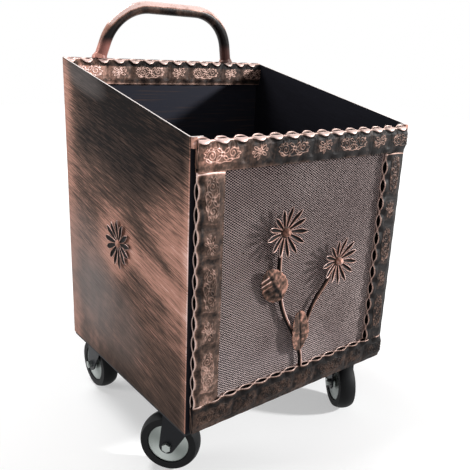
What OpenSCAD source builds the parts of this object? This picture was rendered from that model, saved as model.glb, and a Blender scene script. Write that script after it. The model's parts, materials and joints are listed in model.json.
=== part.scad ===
// Log cart: an open sheet-metal log box on four swivel casters, with embossed crimped bands round
// a mesh front, wrought daisies and a round-bar handle. Millimetres, +Z up, front towards -Y.
// The origin is on the ground at the centre of the whole cart's bounding box.

/* [Log box] */
// Outer width of the box, over the side panels
box_w = 440; // [380:5:520]
// Outer depth of the box, over the side panels
box_d = 400; // [340:5:480]
// Height of the side panels at the front
front_h = 438; // [380:1:520]
// Height of the side panels and the back panel at the back
back_h = 523; // [460:1:620]
// Height of the panels' bottom edge above the ground
box_lift = 115; // [112:1:135]
// Thickness of the sheet
sheet = 1.5; // [1:0.1:2.5]
// Outer radius of the bend at a side panel's front edge
bend_r = 3; // [2.6:0.2:6]
// Width of the flange folded in at a side panel's front edge
flange_w = 20; // [14:1:26]

/* [Floor and base frame] */
// Height of the floor's underside above the panels' bottom edge
floor_rise = 12; // [10:1:16]
// Height of the lip turned up along the floor's front edge
lip_h = 33; // [26:1:36]
// Thickness of the flat bar that rings the floor
ring_t = 3; // [2:0.5:4]
// How far the ring shows below the panels' bottom edge
ring_drop = 5; // [2:0.5:6]
// Thickness of the pads welded under the floor for the casters
pad_t = 5; // [4:0.5:7]

/* [Embossed bands] */
// Width of a band over its crimped edges
band_w = 45; // [38:1:52]
// Thickness of a band at an eye of its crimped edge
band_t = 12; // [9:0.5:14]
// Thickness of a band at a neck between two eyes
neck_t = 3; // [2.4:0.2:4]
// Thickness of the skin that the hollow bands are made of
skin_t = 1.4; // [1:0.1:1.6]
// Height of the crimped edge, from its rim to the flat of the band
crimp_h = 9; // [7:0.5:11]
// Spacing of the eyes along a crimped edge
eye_pitch = 31.2; // [28:0.2:34]
// Length of an eye
eye_l = 23; // [19:0.5:26]
// Gap between the ends of the front bands and the outer faces of the side panels
band_inset = 6.5; // [4:0.5:9]
// Distance from the left end of a long band to its first eye
long_eye_start = 8; // [6:0.5:14]
// Distance from the upper end of an upright band to its first eye
side_eye_start = 25; // [16:0.5:28]
// Height of the tabs that join the top band to the side panels
tab_h = 14; // [8:1:20]

/* [Mesh front] */
// Thickness of the mesh, of which each of its two layers of strands takes half
mesh_t = 3; // [2.4:0.2:4]
// Length of a diamond of the mesh from side to side
mesh_long = 6.2; // [5:0.1:8]
// Height of a diamond of the mesh
mesh_short = 3.8; // [3:0.1:5]
// Width of a strand of the mesh
strand_w = 1.2; // [0.8:0.1:1.6]
// How far the mesh runs on behind the bands on each side
mesh_overlap = 15; // [8:1:18]
// How far the mesh's diamonds run on behind the bands before its plain hem starts
open_overlap = 3; // [1:0.5:6]

/* [Daisies, stems and leaves] */
// Radius of a daisy to its petal tips
petal_r = 42; // [34:0.5:46]
// Number of petals on a daisy
petal_n = 13; // [9:1:14]
// Width of a petal
petal_w = 8; // [6:0.5:10]
// Thickness of a petal at its raised edge
petal_t = 2.4; // [2:0.1:3]
// Depth of the trough down a petal
trough = 1.4; // [0.8:0.1:1.5]
// Angle at which the petals rise from the flower's back
petal_rise = 6; // [0:1:12]
// Radius of the disc in the middle of a daisy
hub_r = 9; // [8:0.5:11]
// Thickness of the disc in the middle of a daisy
hub_t = 3.6; // [2.6:0.2:5]
// Radius of the domed boss on a daisy
boss_r = 7.5; // [6:0.5:7.5]
// Height of the domed boss on a daisy
boss_h = 8; // [6:0.5:11]
// Sideways place of the left daisy
daisy_left_x = -56; // [-80:1:-45]
// Height of the left daisy above the lower band
daisy_left_z = 244; // [200:1:270]
// Sideways place of the right daisy
daisy_right_x = 66.5; // [50:0.5:90]
// Height of the right daisy above the lower band
daisy_right_z = 176; // [150:1:205]
// Diameter of the bar that the stems are bent from
stem_d = 7; // [5:0.5:9]
// Sideways place of the left stem's foot
stem_foot_x = 3; // [-10:1:12]
// Length of the upper leaf
upper_leaf_l = 64; // [54:1:76]
// Width of the upper leaf
upper_leaf_w = 45; // [28:1:50]
// Length of the lower leaf
lower_leaf_l = 73; // [60:1:80]
// Width of the lower leaf
lower_leaf_w = 38; // [24:1:42]
// Thickness of the leaves
leaf_t = 1.6; // [1.2:0.1:2]
// Angle at which the upper leaf's left half is bent back
upper_leaf_fold = 16; // [0:1:18]
// Angle at which the lower leaf's left half is bent forward
lower_leaf_fold = 6; // [0:1:16]

/* [Handle] */
// Diameter of the handle's tube
handle_d = 21.3; // [18:0.1:26]
// Distance between the middles of the handle's feet
handle_span = 280; // [240:1:320]
// Height from the back rim to the middle of the handle's top, along the handle
handle_h = 92; // [84:1:110]
// Radius of the handle's two bends, at the middle of the tube
handle_bend = 86; // [60:1:90]
// Angle at which the handle's legs lean towards each other
handle_lean = 16; // [8:1:18]
// Angle at which the handle leans forward over the box
handle_tilt = 12; // [0:1:16]
// Sideways place of the handle's middle
handle_x = -14; // [-20:1:10]
// Radius of the weld collar round a foot of the handle
collar_r = 14; // [13.5:0.1:16]
// Height of the weld collar round a foot of the handle
collar_h = 8; // [5:0.5:12]

/* [Casters] */
// Diameter of a wheel over its tyre
wheel_d = 100; // [92:1:102]
// Width of a tyre
tyre_w = 30; // [26:1:32]
// Radius of the curve across a tyre's tread
crown_r = 30; // [22:1:60]
// Radius of a wheel's pressed discs
disc_r = 34.3; // [30:0.5:38]
// Distance between the outer faces of a wheel's two discs
disc_gap = 26; // [22:0.5:26]
// Thickness of a wheel's discs
disc_t = 1.5; // [1:0.1:2]
// Outer radius of a wheel's hub tube
hub_tube_r = 10; // [9:0.5:12]
// Distance between the fork's legs
fork_gap = 36; // [35:0.5:38]
// Thickness of the fork's legs and crown
fork_t = 3; // [2:0.5:3.5]
// Radius of a fork leg round the axle
leg_r = 13; // [11:0.5:14]
// Distance by which the wheel trails behind the kingpin
trail = 23; // [18:0.5:26]
// Distance from the kingpin to the front edge of the fork's crown
crown_front = 22; // [20:0.5:26]
// Clearance between the tyre and the underside of the fork's crown
crown_clear = 4; // [3:0.5:5]
// Diameter of the kingpin
kingpin_d = 12; // [10:0.5:14]
// Outer diameter of the bush that a wheel turns on
bush_d = 12; // [11:0.5:14]
// Diameter of the axle bolt
axle_d = 8; // [6:0.5:9]
// Distance across the corners of the hex heads and nuts
hex_corners = 15; // [14:0.5:16]
// Radial running clearance of the kingpins, bushes and bolts
run_clear = 0.05; // [0.02:0.01:0.1]
// Gap between the faces of a swivel joint
swivel_gap = 0.3; // [0.2:0.05:0.5]
// Width of a caster's top plate
plate_w = 66; // [60:1:67]
// Length of a caster's top plate
plate_l = 95; // [88:1:100]
// Thickness of a caster's top plate
plate_t = 3; // [2:0.5:4]
// Sideways spacing of the bolts in a caster's top plate
plate_bolt_x = 46; // [40:1:48]
// Fore and aft spacing of the bolts in a caster's top plate
plate_bolt_y = 74; // [68:1:76]
// Distance from a side panel's outer face to a kingpin
caster_inset_x = 39; // [39:0.5:46]
// Distance from the box's front to a front kingpin
caster_inset_front = 60; // [55:0.5:70]
// Distance from the box's back to a rear kingpin
caster_inset_rear = 54; // [54:0.5:70]
// Direction that the front left caster is turned to
yaw_fl = 41; // [-180:1:180]
// Direction that the front right caster is turned to
yaw_fr = 151; // [-180:1:180]
// Direction that the rear left caster is turned to
yaw_rl = 0; // [-180:1:180]
// Direction that the rear right caster is turned to
yaw_rr = -41; // [-180:1:180]

/* [Colours] */
// Brushed copper over black paint
copper = "#6d4a41"; // [#6d4a41, #7a5246, #5a3d36]
// Black paint
black = "#23201f"; // [#23201f, #1b1a1c, #2c2624]

/* [Hidden] */
$fn = 64;

// Small overlap by which a cutter runs past what it cuts
cut = 1;
// Gap at which a curved piece is seated against its neighbour
seat = 0.2;
mesh_grey = "#8a7d7c";
zinc = "#a9aca8";
rubber = "#1c1d1d";

// Half the box's width and depth
half_w = box_w / 2;
half_d = box_d / 2;
// Inner faces of the sheet walls
inner_w = half_w - sheet;
inner_d = half_d - sheet;
rim_front_z = box_lift + front_h;
rim_back_z = box_lift + back_h;
rim_slope = atan((back_h - front_h) / box_d);

// The floor, with the room that its lip leaves beside the flanges, and what stands under it
lip_clear = 0.5;
floor_z = box_lift + floor_rise;
floor_top = floor_z + sheet;
plate_z = floor_z - pad_t - plate_t;

// Half the long way and the short way of the mesh's diamonds give the angle of its strands
strand_angle = atan(mesh_short / mesh_long);
strand_pitch = mesh_long * sin(strand_angle);
layer_gap = 0.2;

// The front bands stand on the box's front, and their necks lie in the middle of their thickness
band_y = -half_d - band_t / 2;
band_len = box_w - 2 * band_inset;
band_half_len = band_len / 2;
top_band_drop = 0.5;
band_top_z = rim_front_z - top_band_drop;
upper_edge_z = band_top_z - band_w;
low_band_lift = 2;
band_low_z = box_lift + low_band_lift;
lower_edge_z = band_low_z + band_w;
back_band_y = inner_d - band_t / 2;
back_band_len = 2 * inner_w;
// How far short of the side panels' outer faces the corner tabs end
tab_inset = 1;
// How much nearer the front a band's flat face lies than its eyes, and the metal at an eye's tips
face_step = 1;
eye_tip = 0.8;
eye_round = (eye_l * eye_l + band_t * band_t) / (4 * band_t);
hole_l = eye_l - 2 * (skin_t + eye_tip);
hole_t = band_t - 2 * skin_t;
hole_round = (hole_l * hole_l + hole_t * hole_t) / (4 * hole_t);

// The stems lie close to the plane of the bands' necks, and what is fixed to them starts at their front
stem_step = 1;
stem_y = band_y - stem_step;
stem_front = stem_y - stem_d / 2 - seat;
daisy_left = [daisy_left_x, lower_edge_z + daisy_left_z];
daisy_right = [daisy_right_x, lower_edge_z + daisy_right_z];
stem_left_foot = [stem_foot_x, lower_edge_z];
stem_left_path = [
    stem_left_foot,
    stem_left_foot + [-4, 91],
    daisy_left + [-17.5, -174],
    daisy_left
];
// The right stem branches off beside the left one, behind the lower leaf
branch_at = 0.15;
stem_right_foot = beside(stem_left_path, branch_at, stem_d + seat);
stem_right_path = [
    stem_right_foot,
    stem_right_foot + [3.3, 95],
    daisy_right + [-14, -57.7],
    daisy_right
];
stem_sides = 10;
stem_rings = 22;
upper_leaf_at = 0.715;
upper_leaf_turn = 33;
lower_leaf_at = 0.15;
lower_leaf_turn = 8;
leaf_steps = 16;
// How far a leaf's halves overlap at the midrib, and how far from the ends of the leaf that starts
leaf_lap = 1;
leaf_end = 2;
daisy_left_turn = 3;
daisy_right_turn = 9;
petal_steps = 12;
petal_edge = 1.2;
trough_end = 4;
// How far the petals' roots reach under the disc
petal_lap = 2.5;
// Where along a petal it is widest, and half its root's width as a part of its full width
petal_widest = 0.7;
petal_root = 0.16;
side_daisy_z = box_lift + (front_h + back_h) / 4;

// Heights in a caster, measured from the ground
axle_z = wheel_d / 2;
crown_z = wheel_d + crown_clear;
crown_top = crown_z + fork_t;
race_h = 3;
race_top = crown_top + race_h;
dome_z = race_top + swivel_gap;
race_r = 22;
dome_r = 24;
kingpin_head_lip = 2;
kingpin_head_r = kingpin_d / 2 + kingpin_head_lip;
kingpin_head_h = 3;
leg_x = fork_gap / 2;
leg_out = leg_x + fork_t;
crown_back = 7;
leg_back = trail + crown_back;
shoulder_drop = 6;
leg_shoulder_z = crown_z - shoulder_drop;
head_h = 5.3;
nut_h = 6.5;
hub_side_clear = 1;
tyre_bore_r = 22;
tyre_step = 0.2;
tyre_side = 0.1;
tyre_shoulder = 4;
pad_hole_d = axle_d;

kingpin_x = half_w - caster_inset_x;
kingpin_front_y = -half_d + caster_inset_front;
kingpin_rear_y = half_d - caster_inset_rear;
kingpins = [
    [-kingpin_x, kingpin_front_y],
    [kingpin_x, kingpin_front_y],
    [-kingpin_x, kingpin_rear_y],
    [kingpin_x, kingpin_rear_y]
];

// How far the cart reaches to the front and to the back of the box's centre, and from that the
// place of the box's centre, which puts the origin in the middle of the whole cart
front_reach = -(stem_front - hub_t - boss_h);
rear_reach = kingpin_rear_y + trail + wheel_d / 2;
centre_y = (front_reach - rear_reach) / 2;

// A point of the cubic curve through control points p, at t from 0 to 1
function curve_point(p, t) =
    pow(1 - t, 3) * p[0] + 3 * t * pow(1 - t, 2) * p[1] + 3 * t * t * (1 - t) * p[2] + t * t * t * p[3];

// Direction of that curve at t
function curve_dir(p, t) =
    let (d = 3 * pow(1 - t, 2) * (p[1] - p[0]) + 6 * t * (1 - t) * (p[2] - p[1]) + 3 * t * t * (p[3] - p[2]))
    d / norm(d);

// The point that lies a distance to the right of that curve at t
function beside(p, t, distance) =
    let (d = curve_dir(p, t))
    curve_point(p, t) + distance * [d[1], -d[0]];

// A point turned round the origin by an angle
function turned(p, a) = [p[0] * cos(a) - p[1] * sin(a), p[0] * sin(a) + p[1] * cos(a)];

// What a line leaves of a shape, on the near side of a distance along its normal
function clipped(shape, normal, distance) = [
    for (i = [0 : len(shape) - 1])
        let (
            p = shape[i],
            q = shape[(i + 1) % len(shape)],
            over_p = normal * p - distance,
            over_q = normal * q - distance
        )
        each [if (over_p <= 0) p, if (over_p * over_q < 0) p + (q - p) * over_p / (over_p - over_q)]
];

// What a window of width w and height h round the origin leaves of a shape
function in_window(shape, w, h) =
    let (wide = clipped(clipped(shape, [1, 0], w / 2), [-1, 0], w / 2))
    clipped(clipped(wide, [0, 1], h / 2), [0, -1], h / 2);

// The gaps between the strands of one layer of the mesh, rising at angle a within a window
function strand_gaps(w, h, a) =
    let (
        gap = strand_pitch - strand_w,
        reach = norm([w, h]) / 2,
        half_across = (w * sin(strand_angle) + h * cos(strand_angle)) / 2,
        count = floor(half_across / strand_pitch - 1)
    )
    [
        for (k = [-count : count])
            let (low = k * strand_pitch - gap / 2, high = low + gap)
            in_window([
                turned([-reach, low], a), turned([reach, low], a),
                turned([reach, high], a), turned([-reach, high], a)
            ], w, h)
    ];

// The point where a line from p touches the circle of radius r round c, on the side s of 1 or -1
function touch_point(p, c, r, s) =
    let (d = p - c, a = atan2(d[1], d[0]) + s * acos(r / norm(d)))
    c + r * [cos(a), sin(a)];

// Everything above the ground is placed from the box's centre
module at_box() {
    translate([0, centre_y, 0]) children();
}

// Turns a drawing in X and Y, and what is extruded from it, to stand in X and Z facing -Y
module facing_front(y) {
    translate([0, y, 0]) rotate([90, 0, 0]) children();
}

// A pointed oval of length l, where the arcs have radius r
module oval(l, w, r) {
    intersection() {
        translate([0, r - w / 2]) circle(r);
        translate([0, w / 2 - r]) circle(r);
    }
}

// Plan of a side panel with its folded front flange: outer face at x = 0, inside towards +X
module side_plan() {
    translate([0, -half_d + bend_r]) square([sheet, box_d - bend_r]);
    translate([bend_r, -half_d]) square([flange_w - bend_r, sheet]);
    translate([bend_r, -half_d + bend_r]) intersection() {
        difference() {
            circle(bend_r);
            circle(bend_r - sheet);
        }
        translate([-bend_r, -bend_r]) square(bend_r);
    }
}

// A side panel, cut off along the slope of the rim
module side_panel() {
    difference() {
        translate([0, 0, box_lift]) linear_extrude(back_h) side_plan();
        translate([-cut, -half_d, rim_front_z]) rotate([rim_slope, 0, 0])
            translate([0, -half_d, 0]) cube([flange_w + 2 * cut, 2 * box_d, back_h]);
    }
}

module left_side_panel() {
    color(copper) at_box() translate([-half_w, 0, 0]) side_panel();
}

module right_side_panel() {
    color(copper) at_box() mirror([1, 0, 0]) translate([-half_w, 0, 0]) side_panel();
}

module back_panel() {
    color(black) at_box() translate([-inner_w, inner_d, box_lift]) cube([2 * inner_w, sheet, back_h]);
}

// The floor sheet, with its front edge turned up behind the mesh
module floor_panel() {
    lip_y = -half_d + mesh_t;
    notch = flange_w - sheet + lip_clear;
    color(black) at_box() union() {
        translate([-inner_w, lip_y, floor_z]) cube([2 * inner_w, inner_d - lip_y, sheet]);
        translate([-inner_w + notch, lip_y, floor_z]) cube([2 * (inner_w - notch), sheet, lip_h]);
    }
}

// A ring of flat bar on edge under the floor, just inside the panels
module base_frame() {
    ring_z = box_lift - ring_drop;
    color(black) at_box() difference() {
        translate([-inner_w, -inner_d, ring_z]) cube([2 * inner_w, 2 * inner_d, floor_z - ring_z]);
        translate([ring_t - inner_w, ring_t - inner_d, ring_z - cut])
            cube([2 * (inner_w - ring_t), 2 * (inner_d - ring_t), floor_z - ring_z + 2 * cut]);
    }
}

// Ovals for the eyes along one crimped edge, drawn along X and kept within the band's length
module eye_row(len, start, l, w, r) {
    intersection() {
        for (x = [start : eye_pitch : len - cut]) translate([x - len / 2, 0]) oval(l, w, r);
        square([len, 2 * band_t], center = true);
    }
}

// A hollow band along X, centred on the origin, with its face in X and Z: two skins that part at
// the eyes of both crimped edges and are pinched together at the necks between them
module band(len, start) {
    edge = band_w / 2;
    flat = edge - crimp_h;
    face = band_t / 2 - face_step;
    neck = neck_t / 2;
    hollow = face - skin_t;
    section = [
        [-neck, edge], [-face, flat], [-face, -flat], [-neck, -edge],
        [neck, -edge], [face, -flat], [face, flat], [neck, edge]
    ];
    difference() {
        union() {
            rotate([90, 0, 90]) translate([0, 0, -len / 2]) linear_extrude(len) polygon(section);
            for (s = [0, 1]) mirror([0, 0, s]) translate([0, 0, flat])
                linear_extrude(crimp_h) eye_row(len, start, eye_l, band_t, eye_round);
        }
        translate([skin_t - len / 2, -hollow, -flat]) cube([len - 2 * skin_t, 2 * hollow, 2 * flat]);
        for (s = [0, 1]) mirror([0, 0, s]) translate([0, 0, flat - cut]) linear_extrude(crimp_h + 2 * cut)
            intersection() {
                eye_row(len, start, hole_l, hole_t, hole_round);
                square([len - 2 * skin_t, band_t], center = true);
            }
    }
}

module front_band_top() {
    color(copper) at_box() translate([0, band_y, band_top_z - band_w / 2]) band(band_len, long_eye_start);
}

module front_band_bottom() {
    color(copper) at_box() translate([0, band_y, band_low_z + band_w / 2]) band(band_len, long_eye_start);
}

// An upright band between the two long ones, on the side s of -1 or 1
module upright_band(s) {
    x = s * (band_half_len - band_w / 2);
    translate([x, band_y, (upper_edge_z + lower_edge_z) / 2]) rotate([0, 90, 0])
        band(upper_edge_z - lower_edge_z, side_eye_start);
}

module front_band_left() {
    color(copper) at_box() upright_band(-1);
}

module front_band_right() {
    color(copper) at_box() upright_band(1);
}

module back_band() {
    color(copper) at_box() translate([0, back_band_y, rim_back_z - band_w / 2])
        band(back_band_len, long_eye_start);
}

// Two small tabs that bridge the gap from the side panels' front flanges to the top band's ends
module corner_tabs() {
    tab_w = band_inset - tab_inset;
    color(copper) at_box() for (s = [-1, 1])
        translate([s * (band_half_len + tab_w / 2), -half_d - (band_t / 2) / 2, band_top_z - tab_h / 2])
            cube([tab_w, band_t / 2, tab_h], center = true);
}

// One layer of the mesh between the bands and the floor's lip: strands at angle a in a plain hem
module mesh_layer(a) {
    open_w = 2 * (band_half_len - band_w + open_overlap);
    open_h = upper_edge_z - lower_edge_z + 2 * open_overlap;
    hem = mesh_overlap - open_overlap;
    gaps = strand_gaps(open_w, open_h, a);
    linear_extrude((mesh_t - layer_gap) / 2) difference() {
        square([open_w + 2 * hem, open_h + 2 * hem], center = true);
        polygon([for (g = gaps) each g], [
            for (i = 0, n = 0; i < len(gaps); n = n + len(gaps[i]), i = i + 1)
                [for (k = [0 : len(gaps[i]) - 1]) n + k]
        ]);
    }
}

// The mesh of two layers of crossing strands
module front_mesh() {
    middle_z = (upper_edge_z + lower_edge_z) / 2;
    front_y = -half_d + (mesh_t - layer_gap) / 2;
    color(mesh_grey) at_box() {
        translate([0, front_y, middle_z]) rotate([90, 0, 0]) mesh_layer(-strand_angle);
        translate([0, -half_d + mesh_t, middle_z]) rotate([90, 0, 0]) mesh_layer(strand_angle);
    }
}

// One half of the handle from its middle to its right foot, standing in X and Z on z = 0. It is
// drawn from the bend, so that the straight parts meet the bend's ends exactly
module handle_half() {
    r = handle_d / 2;
    bend_z = handle_h - handle_bend;
    leg = (bend_z + handle_bend * sin(handle_lean)) / cos(handle_lean);
    bend_x = handle_span / 2 - leg * sin(handle_lean) - handle_bend * cos(handle_lean);
    below = collar_r;
    translate([bend_x, 0, bend_z]) rotate([90, 0, 0]) rotate([0, 0, handle_lean]) {
        rotate_extrude(angle = 90 - handle_lean) translate([handle_bend, 0]) circle(r);
        translate([handle_bend, 0, 0]) rotate([90, 0, 0]) {
            cylinder(h = leg + below, r = r);
            translate([0, 0, leg - collar_h]) cylinder(h = collar_h, r1 = r - seat, r2 = collar_r);
            translate([0, 0, leg]) cylinder(h = below, r = collar_r);
        }
        rotate([0, 0, 90 - handle_lean]) translate([handle_bend, 0, 0]) rotate([-90, 0, 0])
            cylinder(h = bend_x, r = r);
    }
}

// The handle, welded on the back rim
module handle() {
    color(copper) at_box() difference() {
        translate([handle_x, back_band_y, rim_back_z]) rotate([handle_tilt, 0, 0]) {
            handle_half();
            mirror([1, 0, 0]) handle_half();
        }
        translate([-half_w, 0, rim_back_z - 4 * collar_r]) cube([box_w, box_d, 4 * collar_r]);
    }
}

// A round bar bent along a curve in X and Z, cut level at its foot
module stem(path) {
    points = [
        for (k = [0 : stem_rings], a = [0 : stem_sides - 1])
            let (
                t = k / stem_rings,
                p = curve_point(path, t),
                d = k == 0 ? [0, 1] : curve_dir(path, t),
                across = cos(a * 360 / stem_sides) * stem_d / 2,
                out = sin(a * 360 / stem_sides) * stem_d / 2
            )
            [p[0] + d[1] * across, stem_y - out, p[1] - d[0] * across]
    ];
    faces = [
        [for (a = [0 : stem_sides - 1]) a],
        [for (a = [stem_sides - 1 : -1 : 0]) stem_rings * stem_sides + a],
        for (k = [0 : stem_rings - 1], a = [0 : stem_sides - 1])
            let (b = (a + 1) % stem_sides, i = k * stem_sides, j = i + stem_sides)
            each [[i + b, i + a, j + a], [i + b, j + a, j + b]]
    ];
    polyhedron(points, faces);
}

module stem_left() {
    color(copper) at_box() stem(stem_left_path);
}

module stem_right() {
    color(copper) at_box() stem(stem_right_path);
}

// Half the width of a leaf at t from 0 at its base to 1 at its tip, as a part of its full width
function leaf_half(t) = 0.5 * pow(sin(180 * pow(t, 0.7)), 0.6);

// The half of a leaf on the +Y side of its midrib, which runs along +X from the base. Between its
// ends it runs on past the midrib, so that the two halves share metal there
module leaf_blade(l, w) {
    linear_extrude(leaf_t) polygon([
        [0, 0],
        [leaf_end, -leaf_lap],
        [l - leaf_end, -leaf_lap],
        [l, 0],
        for (k = [leaf_steps - 1 : -1 : 1]) [l * k / leaf_steps, w * leaf_half(k / leaf_steps)]
    ]);
}

// A leaf with its right half flat on z = 0, and its left half, a little shorter, bent up by an angle
module leaf(l, w, bent) {
    union() {
        translate([leaf_end, 0, leaf_t / 2]) rotate([bent, 0, 0]) translate([0, 0, -leaf_t / 2])
            leaf_blade(l - 2 * leaf_end, w);
        mirror([0, 1, 0]) leaf_blade(l, w);
    }
}

// Sets a leaf on the front of the left stem at the point at t, turned from upright
module set_leaf(t, turn) {
    base = curve_point(stem_left_path, t);
    translate([base[0], 0, base[1]]) facing_front(stem_front) rotate([0, 0, 90 + turn]) children();
}

module leaf_upper() {
    color(copper) at_box() set_leaf(upper_leaf_at, upper_leaf_turn)
        leaf(upper_leaf_l, upper_leaf_w, -upper_leaf_fold);
}

module leaf_lower() {
    color(copper) at_box() set_leaf(lower_leaf_at, lower_leaf_turn)
        leaf(lower_leaf_l, lower_leaf_w, lower_leaf_fold);
}

// Half the width of a petal at t from 0 at its root to 1 at its tip, as a part of its full width
function petal_half(t) =
    t < petal_widest
        ? petal_root + (0.5 - petal_root) * sin(90 * t / petal_widest)
        : 0.5 * cos(90 * (t - petal_widest) / (1 - petal_widest));

// Outline of a petal from x = 0, of length l and width w
module petal_outline(l, w) {
    polygon([
        for (k = [0 : petal_steps - 1]) [l * k / petal_steps, -w * petal_half(k / petal_steps)],
        [l, 0],
        for (k = [petal_steps - 1 : -1 : 0]) [l * k / petal_steps, w * petal_half(k / petal_steps)]
    ]);
}

// One petal along +X, with a trough between its raised edges
module petal() {
    root = hub_r - petal_lap;
    translate([root, 0, 0]) difference() {
        linear_extrude(petal_t) petal_outline(petal_r - root, petal_w);
        translate([trough_end, 0, petal_t - trough]) linear_extrude(petal_t)
            petal_outline(petal_r - root - 2 * trough_end, petal_w - 2 * petal_edge);
    }
}

// The petals of a daisy round its disc, with its back on z = 0
module petals() {
    union() {
        cylinder(h = hub_t, r = hub_r);
        for (k = [0 : petal_n - 1]) rotate([0, -petal_rise, k * 360 / petal_n]) petal();
    }
}

// The domed boss on a daisy's disc
module boss() {
    dome_r = (boss_r * boss_r + boss_h * boss_h) / (2 * boss_h);
    translate([0, 0, hub_t]) intersection() {
        translate([0, 0, boss_h - dome_r]) sphere(dome_r);
        cylinder(h = boss_h, r = boss_r);
    }
}

// Places of the daisies: two on the stems, and one in the middle of each side panel
module on_stem(at, turn) {
    at_box() translate([at[0], stem_front, at[1]]) rotate([90, turn, 0]) children();
}

module on_side(s) {
    at_box() translate([s * half_w, 0, side_daisy_z]) rotate([0, s * 90, 0]) children();
}

module daisy_left_petals() {
    color(copper) on_stem(daisy_left, daisy_left_turn) petals();
}

module daisy_left_boss() {
    color(copper) on_stem(daisy_left, daisy_left_turn) boss();
}

module daisy_right_petals() {
    color(copper) on_stem(daisy_right, daisy_right_turn) petals();
}

module daisy_right_boss() {
    color(copper) on_stem(daisy_right, daisy_right_turn) boss();
}

module side_daisy_left_petals() {
    color(copper) on_side(-1) petals();
}

module side_daisy_left_boss() {
    color(copper) on_side(-1) boss();
}

module side_daisy_right_petals() {
    color(copper) on_side(1) petals();
}

module side_daisy_right_boss() {
    color(copper) on_side(1) boss();
}

// Places for what each kingpin carries: number k of the four
module at_kingpin(k) {
    at_box() translate([kingpins[k][0], kingpins[k][1], 0]) children();
}

// The four bolt places of a top plate
module plate_bolts() {
    for (x = [-1, 1], y = [-1, 1]) translate([x * plate_bolt_x / 2, y * plate_bolt_y / 2, 0]) children();
}

// Thick pads under the floor, tapped for the caster bolts
module caster_pads() {
    color(black) for (k = [0 : 3]) at_kingpin(k) difference() {
        translate([-plate_w / 2, -plate_l / 2, floor_z - pad_t]) cube([plate_w, plate_l, pad_t]);
        translate([0, 0, floor_z - pad_t - cut]) plate_bolts()
            cylinder(h = pad_t + 2 * cut, d = pad_hole_d + 2 * run_clear);
    }
}

// Hex bolts screwed up through the top plates into the pads
module caster_bolts() {
    color(zinc) for (k = [0 : 3]) at_kingpin(k) plate_bolts() union() {
        translate([0, 0, plate_z - head_h]) cylinder(h = head_h, d = hex_corners, $fn = 6);
        translate([0, 0, plate_z]) cylinder(h = plate_t + pad_t - swivel_gap, d = pad_hole_d);
    }
}

// A caster's fixed half: top plate, pressed dome and riveted kingpin
module caster_plate(k) {
    color(black) at_kingpin(k) difference() {
        union() {
            translate([-plate_w / 2, -plate_l / 2, plate_z]) cube([plate_w, plate_l, plate_t]);
            translate([0, 0, dome_z]) cylinder(h = plate_z - dome_z, r = dome_r);
            translate([0, 0, crown_z - swivel_gap]) cylinder(h = dome_z - crown_z + cut, d = kingpin_d);
            translate([0, 0, crown_z - swivel_gap - kingpin_head_h])
                cylinder(h = kingpin_head_h, r = kingpin_head_r);
        }
        translate([0, 0, plate_z - cut]) plate_bolts()
            cylinder(h = plate_t + 2 * cut, d = pad_hole_d + 2 * run_clear);
    }
}

// Places for what swivels on kingpin k and is turned by yaw: the wheel trails along its +Y
module swivelled(k, yaw) {
    at_kingpin(k) rotate([0, 0, yaw]) children();
}

// Places for what lies on a wheel's axle, drawn along +Z from the wheel's middle
module on_axle(k, yaw) {
    swivelled(k, yaw) translate([0, trail, axle_z]) rotate([0, 90, 0]) children();
}

// Side view of a fork leg in Y and Z
module leg_profile() {
    axle = [trail, axle_z];
    back_top = [leg_back, crown_top];
    front_top = [-crown_front, leg_shoulder_z];
    translate(axle) circle(leg_r);
    polygon([
        axle,
        touch_point(back_top, axle, leg_r, -1),
        back_top,
        [-crown_front, crown_top],
        front_top,
        touch_point(front_top, axle, leg_r, 1)
    ]);
}

// A fork: two tapered legs, the crown that joins them and the collar of the ball race
module fork(k, yaw) {
    color(black) swivelled(k, yaw) difference() {
        union() {
            for (x = [-leg_out, leg_x]) translate([x, 0, 0])
                rotate([90, 0, 90]) linear_extrude(fork_t) leg_profile();
            translate([-leg_out, -crown_front, crown_z]) cube([2 * leg_out, leg_back + crown_front, fork_t]);
            translate([0, 0, crown_top]) cylinder(h = race_top - crown_top, r = race_r);
        }
        translate([0, 0, crown_z - cut])
            cylinder(h = race_top - crown_z + 2 * cut, d = kingpin_d + 2 * run_clear);
        translate([-leg_out - cut, trail, axle_z]) rotate([0, 90, 0])
            cylinder(h = 2 * (leg_out + cut), d = axle_d + 2 * run_clear);
    }
}

// The axle bolt, with its head on the side s of -1 or 1
module axle_bolt(k, yaw, s) {
    color(zinc) on_axle(k, yaw) mirror([0, 0, s > 0 ? 1 : 0]) union() {
        translate([0, 0, -leg_out - head_h]) cylinder(h = head_h, d = hex_corners, $fn = 6);
        translate([0, 0, -leg_out]) cylinder(h = 2 * leg_out + nut_h + cut, d = axle_d);
    }
}

// The nut at the other end of the axle bolt
module axle_nut(k, yaw, s) {
    color(zinc) on_axle(k, yaw) mirror([0, 0, s > 0 ? 1 : 0]) difference() {
        translate([0, 0, leg_out]) cylinder(h = nut_h, d = hex_corners, $fn = 6);
        translate([0, 0, leg_out - cut]) cylinder(h = nut_h + 2 * cut, d = axle_d + 2 * run_clear);
    }
}

// The bush clamped between the fork's legs, on which the wheel turns
module bush(k, yaw) {
    color(zinc) on_axle(k, yaw) difference() {
        cylinder(h = fork_gap, d = bush_d, center = true);
        cylinder(h = fork_gap + 2 * cut, d = axle_d + 2 * run_clear, center = true);
    }
}

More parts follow.
